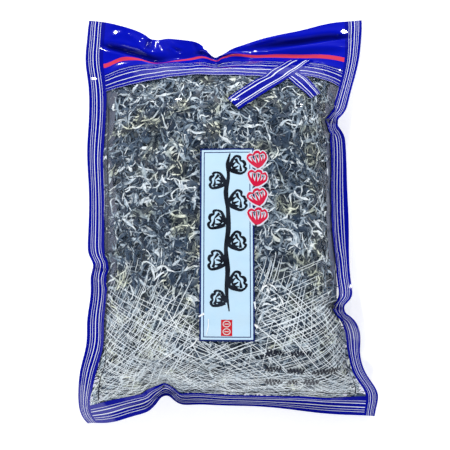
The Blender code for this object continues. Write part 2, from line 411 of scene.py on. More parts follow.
@dataclass(frozen=True)
class PouchForm:
    """The filled pouch as a form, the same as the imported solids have.

    Points are named by (across, along) from -1 to 1 on the film, as part of the way to its edges.
    Pinches are (place, reach, depth) in mm, and seams are (place, height) in mm.
    """

    half_width: float = HALF_WIDTH * MM
    half_length: float = 208 * MM
    flat_half_length: float = HALF_LENGTH * MM
    middle: Place = (0.5 * MM, 2.6 * MM)
    left_bow: Place = (9.5 * MM, 2.2)
    right_bow: Place = (26 * MM, 2.6)
    right_margin: float = 1.5 * MM
    bottom_bow: float = 13 * MM
    bottom_slant: float = 4 * MM
    top_drop: Place = (34 * MM, 1.1)
    top_lift: float = 6 * MM
    seal: float = 12 * MM
    fill_height: float = 66 * MM
    fill_slant: float = 0.05
    lump_height: float = 0.75 * MM
    lump_waves: tuple = ((5.1, 2.3, 0.4), (-4.3, 3.7, 1.9))
    seam_height: float = 14 * MM
    top_empty: float = 28 * MM
    top_empty_at_sides: float = 22 * MM
    front_shoulders: tuple = ((95 * MM, 2.0), (58 * MM, 2.6), (68 * MM, 2.4), (78 * MM, 2.0))
    back_shoulder: Place = (42 * MM, 2.0)
    side_foot: float = 4 * MM
    end_foot: float = 10 * MM
    left_pinches: tuple = ((165, 22, -3.0), (65, 35, -2.8), (-52, 9, 4.5), (-75, 30, 5.5), (-130, 22, 4.5))
    right_pinches: tuple = (
        ((165, 30, -3.5), (93, 10, 8.0), (93, 34, 4.5), (-10, 40, -2.0))
        + ((-96, 9, 11.0), (-122, 13, -3.0), (-182, 19, -9.5))
    )
    bottom_pinches: tuple = ((-115, 25, -5.5), (-60, 11, 13.0), (-38, 28, 3.5), (100, 50, -4.5))
    top_pinches: tuple = (
        ((-105, 28, 4.0), (-77, 12, 5.5), (-50, 22, 5.0))
        + ((-13, 11, 12.0), (10, 30, 2.5), (112, 25, -2.5))
    )
    left_seam: tuple = (
        ((-208, 10), (-150, 20), (-90, 16), (-52, 25))
        + ((-20, 18), (80, 16), (165, 13), (208, 10))
    )
    right_seam: tuple = (
        ((-208, 10), (-175, 14), (-130, 22), (-94, 33), (-60, 21))
        + ((20, 19), (93, 31), (150, 16), (208, 10))
    )
    bottom_seam: tuple = ((-150, 8), (-105, 10), (-60, 25), (-20, 15), (60, 12), (150, 8))
    top_seam: tuple = ((-150, 8), (-112, 17), (-77, 8), (-45, 18), (-13, 12), (35, 16), (90, 10), (150, 8))
    side_fade: float = 50 * MM
    end_fade: Place = (70 * MM, 1.3)
    seam_fade: float = 60 * MM
    corner_pull: tuple = ((-1, -1, 12 * MM), (1, -1, 2 * MM), (-1, 1, 2 * MM), (1, 1, 3 * MM))
    corner_powers: tuple[int, int] = (10, 22)
    sheet_gap: float = 0.3 * MM
    off_table: float = 0.1 * MM

    def from_edges(self, across: Array, along: Array) -> tuple[Array, Array, Array, Array]:
        """How far points are from the film's left, right, bottom and top edges."""
        width, length = self.half_width, self.half_length
        return (1 + across) * width, (1 - across) * width, (1 + along) * length, (1 - along) * length

    def plan(self, across: Array, along: Array) -> tuple[Array, Array]:
        """X and Y of points of the film, as they lie on the table."""
        from_left, from_right, from_bottom, from_top = self.from_edges(across, along)
        left = self.half_width - self.left_bow[0] * (1 - abs(along) ** self.left_bow[1])
        right = self.right_bow[0] * (1 - abs(along) ** self.right_bow[1])
        right = self.half_width - self.right_margin - right
        x = np.where(across < 0, left, right) * across
        y = self.half_length * along
        place_x, place_y = self.half_width * across, self.half_length * along
        x = x + pinched(self.left_pinches, place_y) * fade(from_left, self.side_fade)
        x = x - pinched(self.right_pinches, place_y) * fade(from_right, self.side_fade)
        raised = self.bottom_bow * (1 - across**2) + self.bottom_slant * (1 + across)
        raised = raised + pinched(self.bottom_pinches, place_x)
        y = y + raised * fade(from_bottom, *self.end_fade)
        drop, power = self.top_drop
        dropped = drop * np.clip(1 - abs(across), 0, 1) ** power - self.top_lift
        dropped = dropped + pinched(self.top_pinches, place_x)
        y = y - dropped * fade(from_top, *self.end_fade)
        p, q = self.corner_powers
        for side, end, pull in self.corner_pull:
            x = x - side * pull * np.clip(side * across, 0, 1) ** p * np.clip(end * along, 0, 1) ** q
        return x - self.middle[0], y - self.middle[1]

    def seam(self, across: Array, along: Array) -> Array:
        """How high the plane between the two sheets lies."""
        place_x, place_y = self.half_width * across, self.half_length * along
        curves = (self.left_seam, self.right_seam, self.bottom_seam, self.top_seam)
        edges = zip(curves, (place_y, place_y, place_x, place_x), self.from_edges(across, along))
        lifts = ((smooth_through(curve, at), fade(off, self.seam_fade)) for curve, at, off in edges)
        return self.seam_height + sum((lift - self.seam_height) * share for lift, share in lifts)

    def fill_distances(self, across: Array, along: Array) -> tuple[Array, Array, Array, Array]:
        """How far points are inside the filled part, from its left, right, bottom and top limits."""
        left, right, bottom, top = self.from_edges(across, along)
        return (
            past_foot(left - self.seal, self.side_foot),
            past_foot(right - self.seal, self.side_foot),
            past_foot(bottom - self.seal, self.end_foot),
            past_foot(top - self.top_empty - self.top_empty_at_sides * across**2, self.end_foot),
        )

    def fullness(self, side: Side, across: Array, along: Array) -> Array:
        """0 at the seals and 1 where a sheet has left the seam plane altogether."""
        shoulders = (self.back_shoulder,) * 4 if side is Side.BACK else self.front_shoulders
        distances = self.fill_distances(across, along)
        return math.prod(rise(distance, shoulder) for distance, shoulder in zip(distances, shoulders))

    def height(self, side: Side, across: Array, along: Array) -> Array:
        """Height of one sheet's outer face above the table."""
        seam = self.seam(across, along)
        full = self.fullness(side, across, along)
        if side is Side.BACK:
            return seam - self.sheet_gap / 2 + (self.off_table - seam + self.sheet_gap / 2) * full
        lumps = sum(np.sin(a * across + b * along + c) for a, b, c in self.lump_waves)
        top = self.fill_height * (1 - self.fill_slant * along) + self.lump_height * lumps
        return seam + self.sheet_gap / 2 + (top - seam) * full


class Skin:
    """One sheet of the pouch, addressed by flat places on the film before it was filled."""

    TABLE = (401, 561)
    STEPS = 26
    PACE = 0.65
    APART = 9 * MM
    DENTS = ((0.42, 13 * MM, 11), (0.22, 6 * MM, 21))
    CRINKLE = (0.06 * MM, 9 * MM, 32)
    BACK_SINK = 0.25 * MM

    def __init__(self, form: PouchForm, side: Side, facets: Sequence[Facet] = ()) -> None:
        """Measures the sheet along and across, so that flat places can be found on it.

        Args:
            form: the filled pouch.
            side: which of its sheets.
            facets: the tilted patches of the film.
        """
        self.form = form
        self.side = side
        self.facets = tuple(facets)
        self.registration = Registration()
        across, along = np.meshgrid(np.linspace(-1, 1, self.TABLE[0]), np.linspace(-1, 1, self.TABLE[1]))
        points = self.smooth(across, along)
        self.s_table = self._measured(points, 1, form.half_width)
        self.t_table = self._measured(points, 0, form.flat_half_length)

    @staticmethod
    def _measured(points: Array, axis: int, reach: float) -> Array:
        """Length along the sheet on each grid line, from its middle.

        What a line has too little or too much to reach its edge is taken up near the edge, as folds do.

        Args:
            points: the grid's points.
            axis: along which axis of the grid to measure.
            reach: the length at the edge.

        Returns:
            The length at each point of the grid.
        """
        steps = np.linalg.norm(np.diff(points, axis=axis), axis=2)
        start = np.zeros_like(steps.take([0], axis=axis))
        run = np.concatenate([start, np.cumsum(steps, axis=axis)], axis=axis)
        count = points.shape[axis]
        run = run - run.take([count // 2], axis=axis)
        share = np.linspace(-1, 1, count)
        share = share[:, None] if axis == 0 else share[None, :]
        for sign, last in ((-1, 0), (1, count - 1)):
            spare = sign * reach - run.take([last], axis=axis)
            run = run + spare * ease((sign * share - 0.5) / 0.5)
        return run

    def smooth(self, across: Array, along: Array) -> Array:
        """Points of the sheet without its creases."""
        x, y = self.form.plan(across, along)
        return np.stack([x, y, self.form.height(self.side, across, along)], axis=-1)

    def found(self, s: Array, t: Array) -> tuple[Array, Array]:
        """Where flat places are on the film, as (across, along) from -1 to 1."""
        across, along = s / self.form.half_width, t / self.form.flat_half_length
        for _ in range(self.STEPS):
            off_s = s - sampled(self.s_table, across, along)
            off_t = t - sampled(self.t_table, across, along)
            across = np.clip(across + self.PACE * off_s / self.form.half_width, -1, 1)
            along = np.clip(along + self.PACE * off_t / self.form.flat_half_length, -1, 1)
        return across, along

    def normals(self, across: Array, along: Array) -> Array:
        """Directions straight out of the sheet."""
        step = 2e-3
        right = self.smooth(np.minimum(across + step, 1), along)
        left = self.smooth(np.maximum(across - step, -1), along)
        up = self.smooth(across, np.minimum(along + step, 1))
        down = self.smooth(across, np.maximum(along - step, -1))
        normal = np.cross(right - left, up - down) * self.side.value
        return normal / np.linalg.norm(normal, axis=-1, keepdims=True)

    def folds(self, across: Array, along: Array) -> Array:
        """How far the creases lift the film."""
        x, y = across * self.form.half_width, along * self.form.half_length
        return sum(crease.lift(x, y) for crease in CREASES)

    def furrow(self, s: Array, t: Array) -> Array:
        """How deep in a furrow flat places lie, in mm."""
        return np.clip(-self.folds(*self.found(*self.registration.moved(s, t))) / MM, 0, None)

    def relief(self, across: Array, along: Array) -> Array:
        """How far folds and small dents lift the film. Where the sheets lie together they share them."""
        x, y = across * self.form.half_width, along * self.form.half_length
        folds = self.folds(across, along)
        apart = ease(self._thickness(across, along) / self.APART)
        waves = [height * cloudy(x, y, cell, seed + self.side.value) for height, cell, seed in self.DENTS]
        dents = sum(waves) * MM
        height, cell, seed = self.CRINKLE
        shared = folds + height * cloudy(x, 2 * y, cell, seed)
        if self.side is Side.BACK:
            relief = -apart * (self.BACK_SINK + abs(dents)) - shared * (1 - apart)
            share = apart - 1
        else:
            relief = apart * (dents + folds) + shared * (1 - apart)
            share = 1.0
        for facet in self.facets:
            relief = facet.laid_in(relief, x, y, share)
        return relief

    def _thickness(self, across: Array, along: Array) -> Array:
        """How far the two sheets are apart."""
        front = self.form.height(Side.FRONT, across, along)
        return front - self.form.height(Side.BACK, across, along)

    def room(self, s: Array, t: Array) -> Array:
        """How deep the pouch is under flat places, in metres."""
        return self._thickness(*self.found(*self.registration.moved(s, t)))

    def place(self, s: Array, t: Array, depth: Array | float) -> Array:
        """Points of the pouch for flat places.

        Args:
            s: places across the flat film.
            t: places along the flat film.
            depth: how far under the film's outer face, in metres.

        Returns:
            An array of shape (n, 3).
        """
        across, along = self.found(*self.registration.moved(s, t))
        normal = self.normals(across, along)
        out = self.relief(across, along) - depth
        return self.smooth(across, along) + normal * np.asarray(out)[..., None]


@dataclass(frozen=True)
class Glint:
    """A facet that mirrors the named lamp into the camera."""

    lamp: str
    middle: Place
    reach: Place
    turn: float

    def facet(self, skin: Skin, lamp: Array, eye: Array) -> Facet:
        """The patch of the skin, tilted halfway between the lamp and the camera."""
        form, step = skin.form, 3 * MM
        spots = np.array(self.middle) * MM + np.array([(0, 0), (1, 0), (-1, 0), (0, 1), (0, -1)]) * step
        across, along = spots[:, 0] / form.half_width, spots[:, 1] / form.half_length
        points = skin.smooth(across, along)
        to_eye, to_lamp = eye - points[0], lamp - points[0]
        half = to_eye / np.linalg.norm(to_eye) + to_lamp / np.linalg.norm(to_lamp)
        lean = half @ skin.normals(across, along)[0]
        right, up = (points[1] - points[2]) / (2 * step), (points[3] - points[4]) / (2 * step)
        return Facet(self.middle, self.reach, self.turn, (-half @ right / lean, -half @ up / lean))


GLINTS = (
    Glint("back_left_lamp", (-118, 199), (8.5, 4.4), 43),
    Glint("small_lamp", (-56, 190), (7, 3.0), -20),
    Glint("back_right_lamp", (130, 196), (7, 4.5), 0),
    Glint("back_left_lamp", (-143, 145), (6, 4.0), -10),
)


def grid(s_lines: Array, t_lines: Array) -> tuple[Array, Array, Array]:
    """A flat grid.

    Args:
        s_lines: grid lines across.
        t_lines: grid lines along.

    Returns:
        Its points' places across, their places along, and the four corners of each face.
    """
    s, t = np.meshgrid(s_lines, t_lines)
    columns = len(s_lines)
    row, column = np.meshgrid(np.arange(len(t_lines) - 1), np.arange(columns - 1), indexing="ij")
    first = (row * columns + column).ravel()
    faces = np.stack([first, first + 1, first + 1 + columns, first + columns], axis=1)
    return s.ravel(), t.ravel(), faces


def lines_between(marks: Sequence[float], step: float) -> Array:
    """Grid lines through given marks.

    Args:
        marks: places in mm that a line has to pass through, in rising order.
        step: the widest gap between lines, in mm.

    Returns:
        The lines' places in metres.
    """
    lines = [marks[0]]
    for low, high in zip(marks, marks[1:]):
        count = max(1, math.ceil((high - low) / step))
        lines.extend(low + (high - low) * (i + 1) / count for i in range(count))
    return np.array(lines) * MM


def store(thing: Thing, name: str, kind: str, domain: str, values: Sequence | Array) -> None:
    """Stores a value for each point, edge or face of a mesh object as an attribute."""
    thing.data.attributes.new(name, kind, domain).data.foreach_set("value", values)


def new_mesh(
    name: str,
    points: Array,
    faces: Sequence | Array,
    flat: Array | None = None,
) -> Thing:
    """A smooth mesh object in the scene.

    Args:
        name: its name.
        points: vertices, in metres.
        faces: corners of each face.
        flat: flat places of the vertices, kept as the UV map "flat".

    Returns:
        The object, at the origin.
    """
    mesh = bpy.data.meshes.new(name)
    if isinstance(faces, Array):
        faces = faces.tolist()
    mesh.from_pydata(np.asarray(points).tolist(), [], faces)
    mesh.polygons.foreach_set("use_smooth", [True] * len(mesh.polygons))
    if flat is not None:
        layer = mesh.uv_layers.new(name="flat")
        corners = np.empty(len(mesh.loops), np.int32)
        mesh.loops.foreach_get("vertex_index", corners)
        layer.data.foreach_set("uv", flat[corners].astype(np.float32).ravel())
    thing = bpy.data.objects.new(name, mesh)
    bpy.context.scene.collection.objects.link(thing)
    return thing


def sheet(
    name: str,
    skin: Skin,
    s_lines: Array,
    t_lines: Array,
    depth: float,
    keep: Callable[[Array, Array], Array] | None = None,
) -> Thing:
    """A piece of a flat grid wrapped onto the pouch.

    Args:
        name: its name.
        skin: the sheet of film it lies in.
        s_lines: grid lines across.
        t_lines: grid lines along.
        depth: how far under the film's outer face.
        keep: says which cells stay, from the flat places of their middles.

    Returns:
        The wrapped mesh object, its faces outwards.
    """
    s, t, faces = grid(s_lines, t_lines)
    if keep is not None:
        faces = faces[keep(s[faces].mean(axis=1), t[faces].mean(axis=1))]
        used, faces = np.unique(faces, return_inverse=True)
        faces = faces.reshape(-1, 4)
        s, t = s[used], t[used]
    if skin.side is Side.BACK:
        faces = faces[:, ::-1]
    made = new_mesh(name, skin.place(s, t, depth), faces, np.stack([s, t], axis=1))
    # Furrow depth, which the border ink reads to paint shade into furrows
    store(made, "furrow", "FLOAT", "POINT", skin.furrow(s, t).astype(np.float32))
    return made


def wrapped(thing: Thing, skin: Skin, least: float, full: float = 22 * MM) -> None:
    """Wraps a flat mesh, drawn in (s, t, -depth), under the film of the pouch.

    Args:
        thing: the mesh object, which is changed.
        skin: the sheet of film it lies under.
        least: the least depth that its points are pressed to.
        full: where the pouch is thinner than this, the mesh is squeezed.
    """
    mesh = thing.data
    flat = np.empty(len(mesh.vertices) * 3, np.float32)
    mesh.vertices.foreach_get("co", flat)
    s, t, height = flat.reshape(-1, 3).astype(float).T
    squeeze = np.clip(skin.room(s, t) / full, 0.05, 1)
    depth = least * np.minimum(1, 3 * squeeze) + (np.maximum(-height, least) - least) * squeeze
    placed = skin.place(s, t, depth)
    mesh.vertices.foreach_set("co", placed.astype(np.float32).ravel())
    if skin.side is Side.BACK:
        mesh.flip_normals()
    mesh.update()


class Sketch:
    """A short way to write node trees: each call adds one node and links what it is given."""

    def __init__(self, tree: bpy.types.NodeTree) -> None:
        """Starts writing in a tree."""
        self.tree = tree

    def fill(self, node: bpy.types.Node, inputs: dict) -> None:
        """Sets a node's inputs.

        Args:
            node: the node.
            inputs: socket name or number to a value or another node's output socket.
        """
        for key, value in inputs.items():
            if isinstance(value, Socket):
                self.tree.links.new(value, node.inputs[key])
            else:
                node.inputs[key].default_value = value

    def node(self, kind: str, inputs: dict | None = None, **settings: object) -> bpy.types.Node:
        """Adds a node.

        Args:
            kind: Blender's name of the node type.
            inputs: socket name or number to a value or to another node's output socket.
            settings: properties of the node.

        Returns:
            The node.
        """
        made = self.tree.nodes.new(kind)
        for key, value in settings.items():
            setattr(made, key, value)
        self.fill(made, inputs or {})
        return made

    def maths(self, operation: str, *values: object) -> Socket:
        """Adds one Math node and returns its output."""
        return self.node("ShaderNodeMath", dict(enumerate(values)), operation=operation).outputs[0]

    def mix(self, factor: object, low: object, high: object) -> Socket:
        """Mixes two colours and returns the result."""
        return self.node("ShaderNodeMix", {0: factor, 6: low, 7: high}, data_type="RGBA").outputs[2]

    def place(self, kind: str = "Object") -> Socket:
        """The place on the object, or another kind of coordinates."""
        return self.node("ShaderNodeTexCoord").outputs[kind]

    def printed(self) -> Socket:
        """The flat place on the print, from the UV map."""
        return self.node("ShaderNodeUVMap", uv_map="flat").outputs[0]

    def split(self, vector: Socket) -> list[Socket]:
        """The three parts of a vector."""
        return list(self.node("ShaderNodeSeparateXYZ", {0: vector}).outputs)

    def stored(self, name: str) -> Socket:
        """The value of a mesh attribute."""
        return self.node("ShaderNodeAttribute", attribute_name=name).outputs["Fac"]

    def noise(self, place: object, scale: float, detail: float, distortion: float = 0) -> Socket:
        """Random clouds from 0 to 1."""
        inputs = {"Vector": place, "Scale": scale, "Detail": detail, "Distortion": distortion}
        return self.node("ShaderNodeTexNoise", inputs).outputs[0]

    def climb(self, value: object, low: float, high: float, most: float) -> Socket:
        """0 up to a low value, climbing to most at a high one."""
        inputs = {0: value, 1: low, 2: high, 3: 0.0, 4: most}
        return self.node("ShaderNodeMapRange", inputs).outputs[0]

    def random(self, kind: str, low: object, high: object, seed: int) -> Socket:
        """A random FLOAT_VECTOR, FLOAT or INT for each point or instance, from low to high."""
        first, out = {"FLOAT_VECTOR": (0, 0), "FLOAT": (2, 1), "INT": (4, 2)}[kind]
        inputs = {first: low, first + 1: high, 8: seed}
        return self.node("FunctionNodeRandomValue", inputs, data_type=kind).outputs[out]

    def bump(self, height: object, strength: float, distance: float) -> Socket:
        """A normal that is tilted by a height."""
        inputs = {"Height": height, "Strength": strength, "Distance": distance}
        return self.node("ShaderNodeBump", inputs).outputs[0]

    def ramp(
        self,
        at: Socket,
        stops: Sequence[tuple[float, Colour]],
        hard: bool = False,
    ) -> Socket:
        """Colours along a value from 0 to 1.

        Args:
            at: the value.
            stops: places from 0 to 1 in rising order, each with its colour.
            hard: whether each colour stays the same up to the next stop.

        Returns:
            The colour.
        """
        made = self.node("ShaderNodeValToRGB", {0: at})
        elements = made.color_ramp.elements
        elements.remove(elements[1])
        elements[0].position = stops[0][0]
        elements[0].color = (*stops[0][1], 1)
        for place, colour in stops[1:]:
            elements.new(min(place, 1.0)).color = (*colour, 1)
        if hard:
            made.color_ramp.interpolation = "CONSTANT"
        return made.outputs[0]

    def inked(self, place: object, colour: object, thin: Colour, most: float) -> Socket:
        """A colour with clouds of a thinner ink in it.

        Args:
            place: the coordinates that the clouds follow.
            colour: the colour under them.
            thin: the colour of the thinner ink.
            most: how much of it shows at most.

        Returns:
            The mixed colour.
        """
        mottle = self.noise(place, scale=70.0, detail=4.0)
        return self.mix(self.climb(mottle, 0.35, 0.7, most), colour, (*thin, 1))


def as_mesh(thing: Thing, name: str) -> Thing:
    """Turns the result of an object's modifiers into a new plain mesh object and removes the old one."""
    graph = bpy.context.evaluated_depsgraph_get()
    mesh = bpy.data.meshes.new_from_object(thing.evaluated_get(graph), depsgraph=graph)
    bpy.data.objects.remove(thing)
    mesh.name = name
    made = bpy.data.objects.new(name, mesh)
    bpy.context.scene.collection.objects.link(made)
    return made


def new_material(name: str) -> tuple[bpy.types.Material, Sketch, bpy.types.Node]:
    """An empty Principled material, a sketch of its tree and its shader."""
    material = bpy.data.materials.new(name)
    material.use_nodes = True
    return material, Sketch(material.node_tree), material.node_tree.nodes["Principled BSDF"]


@dataclass(frozen=True)
class FilmFinish:
    """Clear glossy laminate. It lets nearly all light through and adds its shine and a faint bluish haze,
    which is partly the film's own clouding and partly a painted reflection.
    """

    name: str = "clear_film"
    haze_and_reflection: Colour = (0.06, 0.20, 0.42)
    clouding: float = 0.045
    roughness: float = 0.07
    ior: float = 2.4
    coat: float = 1.0
    coat_roughness: float = 0.03
    coat_ior: float = 2.2

    def material(self) -> bpy.types.Material:
        """The film's material: one shader with a plain alpha."""
        material, sketch, shader = new_material(self.name)
        values = {
            # Partly painted reflection: a faint blue veil over what lies under the film, besides its real
            # clouding
            "Base Color": (*self.haze_and_reflection, 1),
            "Roughness": self.roughness,
            "IOR": self.ior,
            "Coat Weight": self.coat,
            "Coat Roughness": self.coat_roughness,
            "Coat IOR": self.coat_ior,
            "Alpha": self.clouding,
        }
        sketch.fill(shader, values)
        return material


@dataclass(frozen=True)
class InkFinish:
    """One printing ink under the film's gloss.

    Attributes:
        name: name of the material.
        colour: the ink.
        thin: the colour it has where it printed thin.
        unevenness: how much of the thin colour shows at most.
        roughness: of the gloss over it.
        shine: how strong the gloss is.
    """

    name: str
    colour: Colour
    thin: Colour
    unevenness: float = 0.3
    roughness: float = 0.12
    shine: float = 0.3

    def material(self) -> bpy.types.Material:
        """Ink with faint clouds of uneven coverage."""
        material, sketch, shader = new_material(self.name)
        colour = sketch.inked(sketch.place(), (*self.colour, 1), self.thin, self.unevenness)
        gloss = {"Roughness": self.roughness, "Specular IOR Level": self.shine}
        sketch.fill(shader, {"Base Color": colour, **gloss})
        return material


@dataclass(frozen=True)
class Inks:
    """The colours printed on the film, and the darker blue painted into furrows as shade."""

    blue: Colour = (0.0016, 0.0062, 0.48)
    band_blue: Colour = (0.0012, 0.004, 0.31)
    deep_blue: Colour = (0.0012, 0.003, 0.25)
    # Painted shade: the blue that the border turns towards in its furrows
    furrow_shade_blue: Colour = (0.0010, 0.0025, 0.12)
    white: Colour = (0.90, 0.93, 1.0)
    red: Colour = (0.74, 0.05, 0.10)
    label: Colour = (0.56, 0.79, 0.97)
    navy: Colour = (0.010, 0.022, 0.13)
    gloss: float = 0.09
    shine: float = 0.13

    def gloss_over(self, colour: Socket) -> dict:
        """The shader's inputs for a printed colour under the film's gloss."""
        return {"Base Color": colour, "Roughness": self.gloss, "Specular IOR Level": self.shine}


INKS = Inks()


class Layer(Enum):
    """How far each printed layer stands off the outer face of the film, in metres."""

    FIRST = 0.14 * MM
    SECOND = 0.28 * MM
    THIRD = 0.42 * MM
    FOURTH = 0.56 * MM


@dataclass(frozen=True)
class Stripes:
    """Bands of ink across a printed edge or ribbon.

    Attributes:
        bands: (from, to) places of white lines, in mm.
        fine: (from, to) places filled with very fine white lines.
        pitch: distance between the fine lines.
        weight: width of a fine line.
    """

    bands: tuple
    fine: tuple
    pitch: float
    weight: float

    def stops(self) -> list[tuple[float, Colour]]:
        """Places in mm where the ink changes, in rising order from 0, with the ink that starts there."""
        lines = list(self.bands)
        for low, high in self.fine:
            count = round((high - low) / self.pitch)
            lines += [(low + self.pitch * i, low + self.pitch * i + self.weight) for i in range(count)]
        plan = [(0.0, INKS.band_blue)]
        for low, high in sorted(lines):
            plan += [(low, INKS.white), (high, INKS.band_blue)]
        return plan


@dataclass(frozen=True)
class BorderPrint:
    """The striped blue border, as places on the print in mm.

    Attributes:
        side, bottom: width of the striped bands along the sides and the bottom.
        window_top: where the clear window ends under the header.
        header: from where to where the header's inks change.
        plain_from: where its plain blue starts.
        red_line: from where to where its thin red line runs.
        shade_furrow_depths: from what depth of a furrow the ink is painted darker as shade, and at what depth
            it is darkest.
        edge_stripes: the white lines of the bands, measured on a side band from its outer edge.
    """

    side: float = 20.0
    bottom: float = 18.0
    bottom_below: float = -100.0
    window_top: float = 141.0
    header: Place = (136.0, 176.0)
    plain_from: float = 161.5
    red_line: Place = (168.8, 173.2)
    # Painted shade in furrows: the furrow depths it spans and how strong it gets
    shade_furrow_depths: Place = (0.4, 2.6)
    darkest: float = 0.8
    edge_stripes: Stripes = Stripes(((8.0, 8.8), (12.0, 12.8)), ((3.4, 7.6), (14.8, 16.9)), 2.1, 0.40)
    header_stripes: Stripes = Stripes(
        ((147.5, 148.1), (153.0, 153.6)), ((141.2, 146.4), (156.5, 161.7)), 2.6, 0.26
    )

    def _header_stops(self) -> list[tuple[float, Colour]]:
        """Bands of the header, from the window up."""
        low, high = self.header
        plan = [(low, INKS.band_blue)] + self.header_stripes.stops()[1:]
        plan += [(self.plain_from, INKS.blue)]
        plan += [(self.red_line[0], INKS.red), (self.red_line[1], INKS.blue)]
        return [((place - low) / (high - low), ink) for place, ink in plan]

    def material(self, name: str) -> bpy.types.Material:
        """Blue ink with its white stripes and the header's red line, drawn from the places on the print,
        painted darker in furrows as shade, with less gloss there.
        """
        material, sketch, shader = new_material(name)
        flat = sketch.printed()
        s, t, _ = sketch.split(flat)
        low, high = self.header
        edge = [(place / self.side, ink) for place, ink in self.edge_stripes.stops()]
        from_side = sketch.maths("SUBTRACT", HALF_WIDTH * MM, sketch.maths("ABSOLUTE", s))
        from_bottom = sketch.maths("ADD", t, HALF_LENGTH * MM)
        above = sketch.maths("SUBTRACT", t, low * MM)
        header = sketch.ramp(sketch.maths("DIVIDE", above, (high - low) * MM), self._header_stops(), True)
        bottom = sketch.ramp(sketch.maths("DIVIDE", from_bottom, self.bottom * MM), edge, True)
        side = sketch.ramp(sketch.maths("DIVIDE", from_side, self.side * MM), edge, True)
        body = sketch.mix(sketch.maths("LESS_THAN", t, self.bottom_below * MM), header, bottom)
        colour = sketch.mix(sketch.maths("LESS_THAN", from_side, self.side * MM), body, side)
        colour = sketch.inked(flat, colour, INKS.deep_blue, 0.12)
        # Painted shade: the ink darkens with the depth of its furrow, and its gloss fades there
        dark = sketch.climb(sketch.stored("furrow"), *self.shade_furrow_depths, self.darkest)
        colour = sketch.mix(dark, colour, (*INKS.furrow_shade_blue, 1))
        sketch.fill(shader, INKS.gloss_over(colour))
        shine = sketch.maths("MULTIPLY", sketch.maths("SUBTRACT", 1.0, dark), INKS.shine)
        sketch.fill(shader, {"Specular IOR Level": shine})
        return material

    def keep(self, s: Array, t: Array) -> Array:
        """Which places the border covers."""
        inside = (abs(s) < (HALF_WIDTH - self.side) * MM) & (t < self.window_top * MM)
        return ~(inside & (t > (self.bottom - HALF_LENGTH) * MM))


@dataclass(frozen=True)
class Ribbon:
    """A striped ribbon printed over the header.

    Attributes:
        left_edge: places on the print that its left edge runs through, in mm.
        right_edge: the same for its right edge.
        width: its own width, which its stripes are measured on.
        points: how many points its mesh has across and along.
    """

    name: str
    left_edge: tuple
    right_edge: tuple
    layer: Layer
    width: float = 17.0
    stripes: Stripes = Stripes(((4.6, 5.6), (11.3, 12.3)), ((1.5, 3.5), (13.6, 15.6)), 1.35, 0.45)
    points: tuple[int, int] = (12, 50)

    def build(self, skin: Skin) -> Thing:
        """The ribbon as a strip on the pouch, with its own places across and along as UV."""
        u, v, faces = grid(*(np.linspace(0, 1, count) for count in self.points))
        on_left, on_right = curve_through(self.left_edge, v), curve_through(self.right_edge, v)
        s, t = (on_left * (1 - u[:, None]) + on_right * u[:, None]).T
        points = skin.place(s, t, -self.layer.value)
        # Its places across run against those of the print, so its faces are turned over
        made = new_mesh(self.name, points, faces[:, [0, 3, 2, 1]], np.stack([u * self.width * MM, v], axis=1))
        made.data.materials.append(self._material())
        return made

    def _material(self) -> bpy.types.Material:
        """Blue ribbon ink with white lines."""
        material, sketch, shader = new_material(f"{self.name}_ink")
        across = sketch.split(sketch.printed())[0]
        stops = [(place / self.width, ink) for place, ink in self.stripes.stops()]
        colour = sketch.ramp(sketch.maths("DIVIDE", across, self.width * MM), stops, True)
        colour = sketch.inked(sketch.place(), colour, INKS.deep_blue, 0.2)
        sketch.fill(shader, INKS.gloss_over(colour))
        return material


@dataclass(frozen=True)
class Label:
    """The upright pale label with its two border lines, as places on the print in mm."""

    middle: float = 0.4
    half_width: float = 25.8
    bottom: float = -126.6
    top: float = 57.0
    navy_line: float = 1.5
    gap: float = 2.0
    inner_line: float = 0.8
    cell: float = 1.8
    pale: Colour = (0.62, 0.80, 0.93)

    def build(self, skin: Skin) -> Thing:
        """The label as a sheet on the film."""
        across = lines_between((-self.half_width, self.half_width), self.cell)
        u, t, faces = grid(across, lines_between((self.bottom, self.top), self.cell))
        points = skin.place(u + self.middle * MM, t, -Layer.SECOND.value)
        made = new_mesh("label", points, faces, np.stack([u, t], axis=1))
        made.data.materials.append(self._material())
        return made

    def covers(self, s: Array, t: Array) -> Array:
        """Which places on the print the label hides."""
        beside = abs(s - self.middle * MM) < self.half_width * MM
        return beside & (t > self.bottom * MM) & (t < self.top * MM)

    def _material(self) -> bpy.types.Material:
        """Pale blue ink inside a navy line, a gap and a thin line."""
        material, sketch, shader = new_material("label_ink")
        flat = sketch.printed()
        u, t, _ = sketch.split(flat)
        middle = (self.bottom + self.top) / 2 * MM
        half_height = (self.top - self.bottom) / 2 * MM
        from_side = sketch.maths("SUBTRACT", self.half_width * MM, sketch.maths("ABSOLUTE", u))
        from_end = sketch.maths("ABSOLUTE", sketch.maths("SUBTRACT", t, middle))
        from_end = sketch.maths("SUBTRACT", half_height, from_end)
        inside = sketch.maths("MINIMUM", from_side, from_end)
        reach, line_from = 20.0, self.navy_line + self.gap
        line, paper = (1.0, 1.0, 1.0), (0.0, 0.0, 0.0)
        plan = ((0.0, line), (self.navy_line, paper), (line_from, line), (line_from + self.inner_line, paper))
        stops = [(place / reach, mask) for place, mask in plan]
        lines = sketch.ramp(sketch.maths("DIVIDE", inside, reach * MM), stops, True)
        ground = sketch.inked(flat, (*INKS.label, 1), self.pale, 0.5)
        colour = sketch.mix(lines, ground, (*INKS.navy, 1))
        sketch.fill(shader, INKS.gloss_over(colour))
        return material


@dataclass(frozen=True)
class EarMark:
    """Where a drawn wood ear stands: its middle and half its height in mm, its turn and its stretch."""

    u: float
    t: float
    size: float
    turn: float = 0.0
    stretch: float = 1.0


